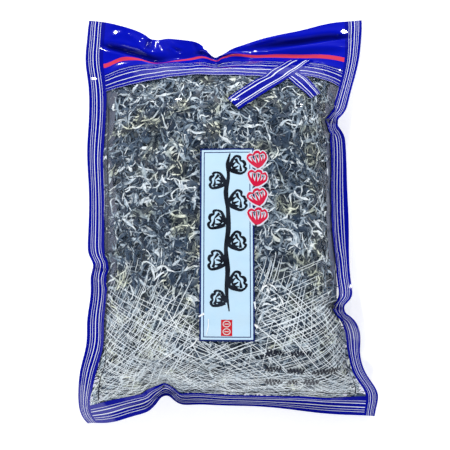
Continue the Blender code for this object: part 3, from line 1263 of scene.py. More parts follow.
class EarInside(Enum):
    """What a drawn wood ear shows inside its rim, as strokes in parts of its size."""

    RIBS = (
        ((-0.16, -0.62), (-0.36, -0.3), (-0.42, -0.02)),
        ((0.04, -0.66), (0.1, -0.28), (0.06, 0.06)),
        ((0.24, -0.58), (0.44, -0.3), (0.5, -0.06)),
        ((-0.76, 0.12), (-0.36, 0.12), (0.04, 0.28)),
        ((0.74, 0.04), (0.42, 0.16), (0.04, 0.28)),
    )
    LONG_RIBS = (
        ((-0.1, -0.8), (-0.44, -0.3), (-0.6, 0.34)),
        ((0.0, -0.8), (-0.06, -0.2), (-0.16, 0.5)),
        ((0.1, -0.8), (0.3, -0.24), (0.26, 0.5)),
        ((0.16, -0.76), (0.56, -0.26), (0.66, 0.3)),
    )


@dataclass
class Strokes:
    """Brush strokes drawn flat, as strips of faces in mm.

    Attributes:
        points: corners of the strips so far, as (s, t) in metres.
        faces: their faces.
    """

    points: list = field(default_factory=list)
    faces: list = field(default_factory=list)

    def add(self, path: Array, widths: Array) -> None:
        """Adds one stroke.

        Args:
            path: its middle line, of shape (n, 2) in mm.
            widths: its width at each point of the path, in mm.
        """
        along = np.gradient(path, axis=0)
        along = along / np.linalg.norm(along, axis=1, keepdims=True)
        across = np.stack([-along[:, 1], along[:, 0]], axis=1) * (np.asarray(widths) / 2)[:, None]
        start = len(self.points) * 3
        for left, middle, right in zip(path - across, path, path + across):
            self.points.append((left, middle, right))
        for i in range(len(path) - 1):
            a = start + 3 * i
            self.faces += [(a, a + 1, a + 4, a + 3), (a + 1, a + 2, a + 5, a + 4)]

    def through(self, marks: Sequence, widths: Sequence[float] | float, step: float = 1.0) -> None:
        """Adds a smooth stroke through given points.

        Args:
            marks: the points, in mm.
            widths: the stroke's width at each point, or one for all.
            step: about how far apart the points of the strip are, in mm.
        """
        steps = np.linalg.norm(np.diff(np.array(marks, float), axis=0), axis=1)
        run = np.concatenate([[0], np.cumsum(steps)]) / steps.sum()
        share = np.linspace(0, 1, max(6, int(steps.sum() / step)))
        widths = np.broadcast_to(widths, len(marks))
        self.add(curve_through(marks, share) / MM, np.interp(share, run, widths))

    def oval(self, middle: Place, radii: Place, width: float) -> None:
        """Adds an oval in one stroke round its middle."""
        angle = np.linspace(0, 2 * math.pi, 30)
        path = np.stack([middle[0] + radii[0] * np.cos(angle), middle[1] + radii[1] * np.sin(angle)], axis=1)
        self.add(path, np.full(len(path), width))

    def ear(self, ear: EarMark, weight: float, inside: EarInside) -> None:
        """Adds a wood ear mushroom in a few strokes: its wavy rim, its foot and what its inside shows.

        Args:
            ear: where it is and how large.
            weight: width of a middling stroke.
            inside: what is drawn inside it.
        """
        left = ((-0.06, -0.98), (-0.4, -0.66), (-0.82, -0.16), (-1.0, 0.28), (-0.7, 0.58), (-0.36, 0.46))
        top = ((-0.36, 0.46), (-0.12, 0.74), (0.22, 0.76), (0.42, 0.52), (0.66, 0.68), (0.94, 0.4))
        right = ((0.94, 0.4), (0.95, -0.02), (0.62, -0.46), (0.26, -0.8), (-0.06, -0.98))
        strokes = [(left, (1.2, 1.3, 1.0, 0.8, 1.1, 0.5)), (top, (0.5, 1.1, 1.2, 0.6, 1.0, 0.7))]
        strokes += [(right, (0.7, 0.9, 1.2, 1.4, 1.2))]
        strokes += [(marks, (1.1, 0.8, 0.3)) for marks in inside.value]
        for marks, widths in strokes:
            x, y = np.array(marks).T * ear.size
            x, y = turned(x * ear.stretch, y, ear.turn)
            self.through(np.stack([ear.u + x, ear.t + y], axis=1), weight * np.array(widths))

    def build(
        self,
        name: str,
        skin: Skin,
        layer: Layer,
        finish: InkFinish,
        middle: float = 0.0,
    ) -> Thing:
        """The strokes wrapped onto the pouch.

        Args:
            name: name of the piece.
            skin: the film it is printed on.
            layer: how far it stands off.
            finish: its ink.
            middle: where the strokes' own middle line lies across the print, in mm.

        Returns:
            The piece.
        """
        flat = np.array(self.points).reshape(-1, 2) * MM
        s, t = flat[:, 0] + middle * MM, flat[:, 1]
        faces = np.array(self.faces)[:, ::-1]
        made = new_mesh(name, skin.place(s, t, -layer.value), faces, np.stack([s, t], axis=1))
        return painted(made, finish)


@dataclass(frozen=True)
class LabelDrawing:
    """A plain brush drawing on the label, wood ears on a branch, and the small red square under it.

    Attributes:
        square_at: the red square's middle across the label and its top edge, in mm.
        square_size: its width and height.
        figures: from where to where along the label each of the two ovals on it runs.
    """

    ears: tuple[EarMark, ...] = (
        EarMark(10.2, 40.0, 9.0, -66.0, 1.0),
        EarMark(-9.6, 25.0, 8.6, 70.0, 0.95),
        EarMark(10.4, 5.5, 9.6, -72.0, 1.02),
        EarMark(-9.8, -13.0, 9.4, 64.0, 1.0),
        EarMark(9.8, -33.5, 9.0, -68.0, 1.0),
        EarMark(-10.0, -51.5, 9.4, 72.0, 1.0),
        EarMark(9.8, -71.5, 9.4, -64.0, 0.98),
        EarMark(-8.6, -87.5, 8.0, 66.0, 0.95),
    )
    branch: tuple = (
        ((3, 52), (0.6, 42), (1.4, 30), (-1, 14), (0.8, -2))
        + ((1.2, -22), (-1, -40), (0.6, -60), (-0.4, -80), (2, -99))
    )
    branch_widths: tuple = (1.2, 3.6, 3.0, 4.6, 3.8, 4.8, 3.8, 4.8, 3.6, 1.0)
    weight: float = 2.7
    square_at: Place = (-0.4, -106.8)
    square_size: Place = (10.4, 14.84)
    figures: tuple = ((-120.4, -115.0), (-113.4, -108.0))

    def brush(self, skin: Skin, middle: float) -> Thing:
        """The black strokes."""
        strokes = Strokes()
        for ear in self.ears:
            strokes.ear(ear, self.weight, EarInside.RIBS)
        strokes.through(self.branch, self.branch_widths)
        ink = InkFinish("brush_black", (0.006, 0.008, 0.014), (0.03, 0.04, 0.06), 0.5)
        return strokes.build("label_brush_drawing", skin, Layer.THIRD, ink, middle)

    def square(self, skin: Skin, middle: float) -> tuple[Thing, Thing]:
        """The red square and the plain white figure on it."""
        (u, top), (width, height), rows = self.square_at, self.square_size, 15
        block, figure = Strokes(), Strokes()
        block.add(np.array([(u, top - height / (rows - 1) * i) for i in range(rows)]), np.full(rows, width))
        for low, high in self.figures:
            half = (low + high) / 2
            figure.oval((u, half), (3.3, (high - low) / 2), 0.8)
            figure.through(((u - 2.0, half), (u + 2.0, half)), 0.8)
        red = InkFinish("stamp_red", (0.62, 0.012, 0.020), (0.7, 0.1, 0.12), 0.5)
        white = InkFinish("figure_white", (0.8, 0.75, 0.75), (0.7, 0.5, 0.5), 0.4)
        return (
            block.build("label_red_square", skin, Layer.THIRD, red, middle),
            figure.build("label_square_figure", skin, Layer.FOURTH, white, middle),
        )


@dataclass(frozen=True)
class RedMarks:
    """Four plain red ears with white outlines, in a column beside the top of the label."""

    middle: float = 29.4
    ears: tuple[EarMark, ...] = (
        EarMark(0.0, 46.6, 8.3, 8.0, 1.1),
        EarMark(0.0, 28.2, 8.3, -14.0, 1.1),
        EarMark(0.0, 9.8, 8.3, 16.0, 1.1),
        EarMark(0.0, -8.6, 8.3, -6.0, 1.1),
    )
    weight: float = 2.2
    outline: float = 2.4

    def build(self, skin: Skin) -> tuple[Thing, Thing]:
        """The white outline and the red marks on it."""
        outline, marks = Strokes(), Strokes()
        for ear in self.ears:
            marks.ear(ear, self.weight, EarInside.LONG_RIBS)
            outline.ear(ear, self.weight + self.outline, EarInside.LONG_RIBS)
        white = InkFinish("outline_white", (0.74, 0.78, 0.90), (0.6, 0.68, 0.8))
        red = InkFinish("mark_red", (0.66, 0.008, 0.05), (0.75, 0.08, 0.15))
        return (
            outline.build("red_marks_outline", skin, Layer.THIRD, white, self.middle),
            marks.build("red_marks", skin, Layer.FOURTH, red, self.middle),
        )


@dataclass(frozen=True)
class WindowTrim:
    """What runs along the window's edges: thin dark lines of painted shade along its creases, and grey
    margins of painted shade that hold few shreds.

    Attributes:
        margin: how far from the middle the margins start and end, in mm.
        ragged: how far their inner edge wavers, and over what distance.
        margin_ends: from where to where they run along the print.
    """

    seams: tuple = (
        ((-127, 118), (-125, 67), (-126, -27), (-128, -62), (-128, -97), (-127, -125)),
        ((-126, -134), (-122, -150), (-124, -170), (-123, -193)),
        ((-58, -193), (-41, -191), (23, -191), (90, -187), (118, -193)),
        ((128, -121), (126, -142), (123, -158), (125, -174), (121, -193)),
    )
    weight: float = 1.0
    margin: Place = (117.0, 131.0)
    ragged: Place = (3.0, 9.0)
    margin_ends: Place = (-72.0, 141.0)
    margin_depth: float = 1.3
    cell: float = 2.0
    # Painted shade: the colours of the margin sheet
    grey: Colour = (0.13, 0.15, 0.21)
    brown: Colour = (0.10, 0.095, 0.115)

    def crease_shade_lines(self, skin: Skin) -> Thing:
        """The thin dark lines just inside the window: painted shade along the film's creases there."""
        strokes = Strokes()
        for marks in self.seams:
            strokes.through(marks, self.weight, 3.0)
        # Painted shade: near-black ink along the creases at the window's edges
        ink = InkFinish("seam_grey", (0.012, 0.014, 0.028), (0.03, 0.035, 0.05), 0.4)
        return strokes.build("window_seam_lines", skin, Layer.SECOND, ink)

    def margins(self, skin: Skin) -> Thing:
        """A grey sheet where few shreds reach: painted shade, for the shaded floor that shows there through
        both clear films.
        """
        low, high = self.margin
        swing, over = self.ragged
        s_lines = lines_between((-high, -low, low, high), self.cell)
        t_lines = lines_between(self.margin_ends, self.cell)

        def beside(s: Array, t: Array) -> Array:
            """Which places are in a margin."""
            return abs(s) > low * MM + swing * MM * cloudy(s, t, over * MM, 44)

        made = sheet("window_margins", skin, s_lines, t_lines, self.margin_depth * MM, beside)
        # Painted shade: grey and brown ink in place of the shadow seen through the films
        return painted(made, InkFinish("margin_grey", self.grey, self.brown, 0.8, 0.5))


@dataclass(frozen=True)
class WavyRow:
    """A row of short wavy lines low on the right of the window.

    Attributes:
        lines: where each line starts and ends across the print, in mm.
        along: how far along the print the row starts.
        slant: how much further along it gets per mm across.
        height: half its height.
    """

    lines: tuple[tuple[float, float], ...]
    along: float
    slant: float
    height: float


@dataclass(frozen=True)
class WavyRows:
    """Three rows of plain wavy lines, small and dark."""

    rows: tuple[WavyRow, ...] = (
        WavyRow(((36, 53), (60, 79)), -136.4, 0.01, 3.0),
        WavyRow(((36, 52), (57, 73), (80, 107)), -151.0, -0.07, 4.0),
        WavyRow(((36, 53), (58, 68), (74, 88)), -169.5, 0.03, 5.0),
    )
    start: float = 36
    wave: float = 3.1
    step: float = 0.4
    weight: float = 1.6

    def build(self, skin: Skin) -> Thing:
        """The wavy lines as one piece."""
        strokes = Strokes()
        for row, (low, high) in ((row, line) for row in self.rows for line in row.lines):
            s = np.arange(low, high, self.step)
            swing = row.height * (0.75 + 0.4 * cloudy(s * MM, np.zeros_like(s), 4 * MM, int(high)))
            t = row.along + row.slant * (s - self.start) + swing * np.sin(2 * math.pi * s / self.wave)
            strokes.add(np.stack([s, t], axis=1), self.weight * (0.75 + 0.35 * np.sin(s * 2.3)))
        ink = InkFinish("small_black", (0.010, 0.012, 0.020), (0.05, 0.06, 0.09), 0.7)
        return strokes.build("small_wavy_rows", skin, Layer.THIRD, ink)


class NodeGroup:
    """A Geometry Nodes tree with named inputs, which one modifier then runs."""

    def __init__(self, name: str, inputs: dict) -> None:
        """Starts a tree.

        Args:
            name: its name.
            inputs: name of each input to (socket type, value).
        """
        self.tree = bpy.data.node_groups.new(name, "GeometryNodeTree")
        self.inputs = inputs
        self.tree.interface.new_socket("Geometry", in_out="INPUT", socket_type="NodeSocketGeometry")
        self.sockets = {}
        for title, (kind, _) in inputs.items():
            self.sockets[title] = self.tree.interface.new_socket(title, in_out="INPUT", socket_type=kind)
        self.tree.interface.new_socket("Geometry", in_out="OUTPUT", socket_type="NodeSocketGeometry")
        self.sketch = Sketch(self.tree)
        self.entry = self.tree.nodes.new("NodeGroupInput")
        self.exit = self.tree.nodes.new("NodeGroupOutput")

    def ends_in(self, geometry: Socket) -> None:
        """Links the result."""
        self.tree.links.new(geometry, self.exit.inputs[0])

    def run_on(self, thing: Thing, name: str) -> Thing:
        """Runs the tree on an object and returns the result as a plain mesh object."""
        modifier = thing.modifiers.new(name, "NODES")
        modifier.node_group = self.tree
        for title, (_, value) in self.inputs.items():
            modifier[self.sockets[title].identifier] = value
        return as_mesh(thing, name)


def region(name: str, s_range: Place, t_range: Place, step: float, density: Callable) -> Thing:
    """A flat grid in (s, t) with a "density" attribute, for things to be strewn on.

    Args:
        name: name of the helper object.
        s_range: from and to across, in mm.
        t_range: from and to along, in mm.
        step: size of its cells, in mm.
        density: share from 0 to 1 at places in metres.

    Returns:
        The helper object.
    """
    s, t, faces = grid(lines_between(s_range, step), lines_between(t_range, step))
    made = new_mesh(name, np.stack([s, t, np.zeros_like(s)], axis=1), faces)
    store(made, "density", "FLOAT", "POINT", np.clip(density(s, t), 0, 1).astype(np.float32))
    return made


def strewn(group: NodeGroup, turns: tuple, stretch: tuple, shapes: int) -> Socket:
    """Strews shapes over the group's geometry.

    Args:
        group: the tree, with inputs "Shapes", "Per square metre", "Seed", "Least depth" and "Most depth".
        turns: lowest and highest turn about X, Y and Z.
        stretch: lowest and highest scale along X, Y and Z.
        shapes: how many shapes the collection holds.

    Returns:
        The socket with the instances, each with its "tone" from 0 to 1.
    """
    sketch, entry = group.sketch, group.entry.outputs
    share = sketch.node("GeometryNodeInputNamedAttribute", {"Name": "density"}, data_type="FLOAT")
    density = sketch.maths("MULTIPLY", entry["Per square metre"], share.outputs[0])
    spread = sketch.node(
        "GeometryNodeDistributePointsOnFaces",
        {"Mesh": entry["Geometry"], "Density": density, "Seed": entry["Seed"]},
    )
    depth = sketch.random("FLOAT", entry["Least depth"], entry["Most depth"], 5)
    down = sketch.node("ShaderNodeCombineXYZ", {2: sketch.maths("MULTIPLY", depth, -1.0)})
    laid = sketch.node("GeometryNodeSetPosition", {"Geometry": spread.outputs[0], "Offset": down.outputs[0]})
    kinds = sketch.node(
        "GeometryNodeCollectionInfo",
        {"Collection": entry["Shapes"], "Separate Children": True, "Reset Children": True},
    )
    turn = sketch.random("FLOAT_VECTOR", *turns, 6)
    rotation = sketch.node("FunctionNodeEulerToRotation", {0: turn})
    strewed = sketch.node(
        "GeometryNodeInstanceOnPoints",
        {
            "Points": laid.outputs[0],
            "Instance": kinds.outputs[0],
            "Pick Instance": True,
            "Instance Index": sketch.random("INT", 0, shapes - 1, 8),
            "Rotation": rotation.outputs[0],
            "Scale": sketch.random("FLOAT_VECTOR", *stretch, 7),
        },
    )
    toned = sketch.node(
        "GeometryNodeStoreNamedAttribute",
        {"Geometry": strewed.outputs[0], "Name": "tone", "Value": sketch.random("FLOAT", 0.0, 1.0, 9)},
        data_type="FLOAT",
        domain="INSTANCE",
    )
    return toned.outputs[0]


def shapes_collection(name: str, shapes: Sequence[Thing]) -> bpy.types.Collection:
    """Puts shapes in a collection of their own, outside the scene."""
    collection = bpy.data.collections.new(name)
    for shape in shapes:
        for holder in list(shape.users_collection):
            holder.objects.unlink(shape)
        collection.objects.link(shape)
    return collection


@dataclass(frozen=True)
class ShredShape:
    """One curled shred of dried mushroom, laid along X. One face is dark and the other pale.

    Attributes:
        length: along its curl, in mm.
        width: at its widest, in mm.
        thick: its thickness, in mm.
        turns: how far it turns at each step along it, in degrees.
        twist: how far it turns about its own line, in degrees, from start to end.
        start: the twist at its start, in degrees. 0 has the dark face up, 180 the pale one.
        arch: how far its middle stands up, in mm.
    """

    length: float
    width: float
    thick: float
    turns: tuple[float, ...]
    twist: float
    start: float
    arch: float

    def _path(self) -> tuple[Array, Array, Array]:
        """Its middle line, the direction across it at each point, and how far along each point is."""
        heading = np.radians(np.cumsum(self.turns))
        heading = heading - heading.mean()
        count = len(heading)
        share = np.linspace(0, 1, count)
        step = self.length * MM / (count - 1)
        x = np.concatenate([[0], np.cumsum(np.cos(heading[1:]) * step)])
        y = np.concatenate([[0], np.cumsum(np.sin(heading[1:]) * step)])
        z = self.arch * MM * np.sin(np.pi * share)
        middle = np.stack([x - x.mean(), y - y.mean(), z - z.mean()], axis=1)
        side = np.stack([-np.sin(heading), np.cos(heading), np.zeros(count)], axis=1)
        return middle, side, share

    def build(self, name: str) -> Thing:
        """The shred as a closed strip with three sides: two dark ones and a flat pale one."""
        middle, side, share = self._path()
        up = np.array([0.0, 0.0, 1.0])
        roll = np.radians(self.start + self.twist * share)
        wide = side * np.cos(roll)[:, None] + up * np.sin(roll)[:, None]
        tall = -side * np.sin(roll)[:, None] + up * np.cos(roll)[:, None]
        taper = np.clip(np.sin(np.pi * (0.05 + 0.88 * share)), 0.12, 1) ** 0.8
        taper = taper * (1 + 0.35 * np.sin(11 * share + 3 * self.length))
        half_width = (self.width / 2 * MM * taper)[:, None]
        half_thick = self.thick / 2 * MM
        ring = [middle + wide * half_width, middle + tall * half_thick, middle - wide * half_width]
        points = np.stack(ring, axis=1).reshape(-1, 3)
        last = 3 * (len(share) - 1)
        corners = [(i + k, i + (k + 1) % 3) for i in range(0, last, 3) for k in range(3)]
        faces = [(a, a + 3, b + 3, b) for a, b in corners]
        faces += [(0, 1, 2), (last + 2, last + 1, last)]
        made = new_mesh(name, points, faces)
        store(made, "pale", "BOOLEAN", "FACE", [k % 3 == 2 for k in range(last)] + [True, True])
        ends = np.empty(len(made.data.edges) * 2, np.int32)
        made.data.edges.foreach_get("vertices", ends)
        store(made, "sharp_edge", "BOOLEAN", "EDGE", (abs(ends[::2] - ends[1::2]) == 3).tolist())
        return made


@dataclass(frozen=True)
class ShredFinish:
    """Dried wood ear: one face dark and a little glossy, the other pale and velvety.

    Attributes:
        name: name of the material.
        tones: colours from the darkest shreds to the palest.
        straw: the same colours where the shreds have a yellowish cast.
        roughness: of the face.
    """

    name: str
    tones: tuple[tuple[float, Colour], ...]
    straw: tuple[tuple[float, Colour], ...]
    roughness: float

    def material(self) -> bpy.types.Material:
        """Colour from the shred's own tone, with mottling, a cast in patches and a fine grain."""
        material, sketch, shader = new_material(self.name)
        place = sketch.place()
        mottle = sketch.maths("SUBTRACT", sketch.noise(place, scale=240.0, detail=3.0), 0.5)
        at = sketch.maths("ADD", sketch.stored("tone"), sketch.maths("MULTIPLY", mottle, 1.2))
        cast = sketch.climb(sketch.noise(place, scale=42.0, detail=1.0), 0.53, 0.66, 0.8)
        colour = sketch.mix(cast, sketch.ramp(at, self.tones), sketch.ramp(at, self.straw))
        grain = sketch.bump(sketch.noise(place, scale=1500.0, detail=2.0), 0.35, 0.2 * MM)
        sketch.fill(shader, {"Base Color": colour, "Normal": grain, "Roughness": self.roughness})
        return material


SHRED_DARK = ShredFinish(
    "shred_dark",
    ((0.0, (0.004, 0.010, 0.022)), (0.5, (0.016, 0.034, 0.068)), (1.0, (0.06, 0.10, 0.155))),
    ((0.0, (0.006, 0.008, 0.010)), (0.5, (0.026, 0.032, 0.034)), (1.0, (0.09, 0.10, 0.09))),
    0.42,
)
SHRED_PALE = ShredFinish(
    "shred_pale",
    (
        ((0.0, (0.06, 0.09, 0.13)), (0.3, (0.22, 0.29, 0.36)))
        + ((0.6, (0.51, 0.61, 0.69)), (0.9, (0.90, 0.97, 1.0)))
    ),
    (
        ((0.0, (0.08, 0.09, 0.08)), (0.3, (0.27, 0.30, 0.24)))
        + ((0.6, (0.58, 0.62, 0.46)), (0.9, (0.92, 0.95, 0.74)))
    ),
    0.75,
)


@dataclass(frozen=True)
class ShredCut:
    """One width of cut, with the least and most length, width (mm) and curl (degrees) of its shreds.

    Attributes:
        kinds: how many unlike shreds are made of it.
        kink: how far it turns off at random at each step, in degrees.
        pale_up: share of them that has the pale face up.
    """

    kinds: int
    length: tuple[float, float]
    width: tuple[float, float]
    curl: tuple[float, float]
    kink: float
    pale_up: float


@dataclass(frozen=True)
class ShredLayer:
    """One layer of shreds under a sheet of film: how many per square metre, and how deep in mm."""

    name: str
    side: Side
    density: float
    least: float
    most: float
    seed: int


@dataclass(frozen=True)
class Shreds:
    """The shredded mushroom that fills the pouch, as strips strewn under both sheets of film.

    Attributes:
        turns: the lowest and highest turn of a shred about X, Y and Z.
        stretch: the lowest and highest scale of one along them.
        ground: from and to across, and from and to along, where they are strewn, in mm.
        left_edge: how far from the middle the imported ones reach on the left, as (t, s) pairs.
        right_edge: the same on the right.
        ends: from where to where along the print there are any.
        loose_edge: how far from the middle the few loose ones reach.
        loose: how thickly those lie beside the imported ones.
        least: how far under the film the uppermost ones lie at least.
    """

    layers: tuple[ShredLayer, ...] = (
        ShredLayer("front_shreds_upper", Side.FRONT, 36000, 0.7, 2.0, 3),
        ShredLayer("front_shreds_middle", Side.FRONT, 36000, 1.8, 3.8, 4),
        ShredLayer("front_shreds_lower", Side.FRONT, 34000, 3.4, 7.0, 5),
        ShredLayer("back_shreds", Side.BACK, 46000, 0.5, 1.1, 6),
    )
    cuts: tuple[ShredCut, ...] = (
        ShredCut(11, (20, 40), (1.2, 2.1), (30, 300), 25, 0.85),
        ShredCut(9, (14, 30), (2.0, 3.2), (20, 240), 22, 0.75),
        ShredCut(5, (12, 27), (3.2, 4.6), (10, 180), 18, 0.55),
        ShredCut(3, (13, 24), (4.8, 6.6), (10, 110), 14, 0.1),
    )
    steps: int = 9
    seed: int = 12
    turns: tuple = ((-0.22, -0.16, 0.0), (0.22, 0.16, 2 * math.pi))
    stretch: tuple = ((0.75, 0.8, 0.9), (1.2, 1.2, 1.1))
    ground: tuple[Place, Place] = ((-134, 134), (-205, 172))
    cell: float = 4.0
    left_edge: tuple = ((-215, 128), (-100, 127), (-60, 126), (40, 124), (100, 121), (215, 120))
    right_edge: tuple = ((-215, 129), (-60, 123), (-36, 118), (-2, 111), (49, 117), (215, 120))
    ends: Place = (-199, 150)
    loose_edge: float = 131
    loose: float = 0.2
    least: float = 0.45 * MM

    def shapes(self) -> list[Thing]:
        """A set of unlike curls and kinked strips. Some have the pale face up, some the dark one."""
        rng = np.random.default_rng(self.seed)
        made = []
        for cut in (cut for cut in self.cuts for _ in range(cut.kinds)):
            curl = rng.uniform(*cut.curl) * rng.choice((-1, 1)) / self.steps
            turns = curl + rng.normal(0, cut.kink, self.steps)
            pale_up = rng.random() < cut.pale_up
            shape = ShredShape(
                length=rng.uniform(*cut.length),
                width=rng.uniform(*cut.width),
                thick=rng.uniform(0.5, 0.9),
                turns=tuple(turns),
                twist=rng.uniform(-90, 90),
                start=(180 if pale_up else 0) + rng.uniform(-30, 30),
                arch=rng.uniform(-0.9, 0.9),
            )
            made.append(shape.build(f"shred_shape_{len(made):02d}"))
        return made

    def share(self, s: Array, t: Array) -> Array:
        """How thickly the shreds lie. Only a few loose ones are in the margins beside the seals.

        Args:
            s: places across the print, in metres.
            t: places along it.

        Returns:
            A share of the full density.
        """
        soft = 5 * MM
        left, right = smooth_through(self.left_edge, t), smooth_through(self.right_edge, t)
        uneven = 4 * MM * cloudy(s, t, 16 * MM, 41)
        packed = ease((np.minimum(s + left, right - s) + uneven) / soft)
        inside = np.minimum(t - self.ends[0] * MM, self.ends[1] * MM - t)
        inside = np.minimum(inside, self.loose_edge * MM - abs(s))
        thick = self.loose + (1 - self.loose) * packed
        return ease(inside / soft) * thick * (0.82 + 0.3 * cloudy(s, t, 24 * MM, 42))

    def build(self, skins: dict[Side, Skin]) -> list[Thing]:
        """All layers, wrapped under their sheets of film, as one piece each."""
        finishes = SHRED_DARK.material(), SHRED_PALE.material()
        collection = shapes_collection("shred_shapes", self.shapes())
        built = []
        for layer in self.layers:
            group = self._tree(layer, collection, finishes)
            ground = region(f"{layer.name}_ground", *self.ground, self.cell, self.share)
            made = group.run_on(ground, layer.name)
            wrapped(made, skins[layer.side], self.least)
            built.append(made)
        return built

    def _tree(self, layer: ShredLayer, collection: bpy.types.Collection, finishes: Sequence) -> NodeGroup:
        """Strews the shapes over a ground and gives their sides the dark and the pale finish."""
        group = NodeGroup(
            f"strew_{layer.name}",
            {
                "Shapes": ("NodeSocketCollection", collection),
                "Per square metre": ("NodeSocketFloat", float(layer.density)),
                "Seed": ("NodeSocketInt", layer.seed),
                "Least depth": ("NodeSocketFloat", layer.least * MM),
                "Most depth": ("NodeSocketFloat", layer.most * MM),
            },
        )
        sketch, (dark, pale) = group.sketch, finishes
        instances = strewn(group, self.turns, self.stretch, len(collection.objects))
        real = sketch.node("GeometryNodeRealizeInstances", {0: instances})
        is_pale = sketch.node("GeometryNodeInputNamedAttribute", {"Name": "pale"}, data_type="BOOLEAN")
        all_dark = sketch.node("GeometryNodeSetMaterial", {"Geometry": real.outputs[0], "Material": dark})
        both = sketch.node(
            "GeometryNodeSetMaterial",
            {"Geometry": all_dark.outputs[0], "Selection": is_pale.outputs[0], "Material": pale},
        )
        group.ends_in(both.outputs[0])
        return group


@dataclass(frozen=True)
class HatchSet:
    """One family of strokes that run side by side.

    Attributes:
        middle: (across, along) place on the print where the family is thickest, in mm.
        reach: how far it goes from there across and along, in mm.
        lean: its angle from X, in degrees.
        pitch: distance between neighbours, in mm.
        length: least and most length of a stroke, in mm.
        share: how many of the strokes are there in the thick of it, from 0 to 1.
    """

    middle: tuple[float, float]
    reach: tuple[float, float]
    lean: float
    pitch: float
    length: tuple[float, float]
    share: float

    def paths(self, rng: np.random.Generator) -> list[Array]:
        """The middle lines of its strokes, in mm. They waver a little, and neighbours do so together."""
        far = math.hypot(*self.reach)
        made = []
        for row in np.arange(-far, far, self.pitch):
            u = -far + rng.uniform(0, self.length[1])
            while u < far:
                length = rng.uniform(*self.length)
                along = np.linspace(u, u + length, max(3, int(length / 5)))
                sway = 5 * cloudy(along * MM, np.full_like(along, row * MM), 60 * MM, int(self.lean))
                slip = rng.normal(0, 0.25 * self.pitch) + (along - u) * rng.normal(0, 0.02)
                x, y = turned(along, row + sway + slip, self.lean)
                path = np.stack([self.middle[0] + x, self.middle[1] + y], axis=1)
                if rng.random() < self.share * self._strength(path[len(path) // 2]):
                    made.append(path)
                u += length + rng.uniform(0, 6)
        return made

    def _strength(self, place: Array) -> float:
        """1 in the thick of the family and 0 beyond its reach."""
        off = np.hypot(*((place - self.middle) / self.reach))
        return float(1 - ease((off - 0.55) / 0.45))


@dataclass(frozen=True)
class Hatching:
    """Long thin white strokes printed crosswise over the lower part of the window."""

    sets: tuple[HatchSet, ...] = (
        HatchSet((-100, -180), (120, 105), 40, 2.5, (20, 75), 0.95),
        HatchSet((-90, -115), (68, 75), 65, 2.8, (20, 60), 0.8),
        HatchSet((-90, -170), (120, 100), 155, 2.6, (25, 80), 0.95),
        HatchSet((-50, -195), (130, 45), 4, 2.6, (20, 60), 0.8),
        HatchSet((-60, -170), (100, 70), 124, 6.0, (15, 50), 0.5),
        HatchSet((85, -150), (120, 100), 20, 2.3, (25, 75), 0.95),
        HatchSet((70, -170), (130, 95), 139, 3.0, (25, 90), 0.85),
        HatchSet((45, -100), (40, 65), 74, 3.2, (20, 60), 0.6),
        HatchSet((90, -195), (110, 45), 172, 2.4, (20, 60), 0.9),
    )
    width: float = 0.56
    half_window: float = 129.5
    ends: Place = (-196.8, -44)
    seed: int = 9

    def build(self, skin: Skin, label: Label) -> Thing:
        """The strokes on the film, kept to the window and off the label."""
        rng = np.random.default_rng(self.seed)
        strokes = Strokes()
        for path in (path for hatch in self.sets for path in hatch.paths(rng)):
            for run in self._runs(path, label):
                taper = np.minimum(np.arange(len(run)), np.arange(len(run))[::-1])
                widths = self.width * rng.uniform(0.65, 1.3) * np.clip(0.4 + 0.4 * taper, 0.4, 1)
                strokes.add(run, widths)
        ink = InkFinish("hatch_white", (0.92, 0.98, 1.0), (0.50, 0.64, 0.80), 0.4, 0.25)
        return strokes.build("white_hatching", skin, Layer.FIRST, ink)

    def _runs(self, path: Array, label: Label) -> list[Array]:
        """The parts of a path that lie in the window and not under the label."""
        s, t = path.T * MM
        low, high = self.ends
        seen = (abs(s) < self.half_window * MM) & (t > low * MM) & (t < high * MM) & ~label.covers(s, t)
        ends = np.flatnonzero(np.diff(np.concatenate([[0], seen.astype(int), [0]])))
        return [path[first:last] for first, last in zip(ends[::2], ends[1::2]) if last - first > 1]


@dataclass(frozen=True)
class PaintedGlintStreaks:
    """Short white streaks painted on the film as highlights, where its crumples catch the light.

    Attributes:
        streaks: for each one, the places it runs through on the print and its width there, all in mm.
    """

    streaks: tuple = (
        (((33, -80), (35, -76), (38, -75)), (0.8, 1.8, 1.2)),
        (((40, -74), (44, -76), (47, -80)), (0.8, 1.6, 0.6)),
        (((38, -78), (40, -82)), (2.4, 0.8)),
        (((41, -89), (46, -87)), (1.2, 2.6)),
        (((49, -85), (52, -90), (53, -94)), (0.8, 1.6, 0.6)),
        (((33, -94), (37, -92), (42, -93)), (0.6, 1.8, 0.6)),
        (((44, -96), (50, -98)), (1.4, 0.6)),
        (((26, -90), (27, -97)), (2.2, 0.8)),
        (((26, -111), (29, -114)), (1.2, 2.6)),
        (((34, -109), (37, -112)), (0.6, 1.8)),
        (((-69, -70), (-64, -65), (-59, -62)), (0.6, 2.2, 1.0)),
        (((-56, -60), (-49, -62)), (1.8, 0.6)),
        (((-26, -104), (-21, -101)), (1.4, 2.2)),
        (((-17, -106), (-17, -113), (-19, -121)), (0.8, 1.2, 0.6)),
        (((-34, -112), (-37, -121)), (1.2, 0.6)),
        (((-27, -124), (-31, -130), (-38, -134)), (0.6, 1.4, 0.8)),
        (((56, -82), (65, -91), (74, -102)), (0.6, 0.9, 0.6)),
        (((63, -125), (85, -150)), (0.5, 0.7)),
    )

    def build(self, skin: Skin) -> Thing:
        """The streaks as one piece."""
        strokes = Strokes()
        for marks, widths in self.streaks:
            strokes.through(marks, widths)
        # Painted highlight: near-white ink in place of glints on the crumpled film
        ink = InkFinish("creased_white", (0.96, 0.99, 1.0), (0.70, 0.82, 0.94), 0.5)
        return strokes.build("white_creases", skin, Layer.FOURTH, ink)


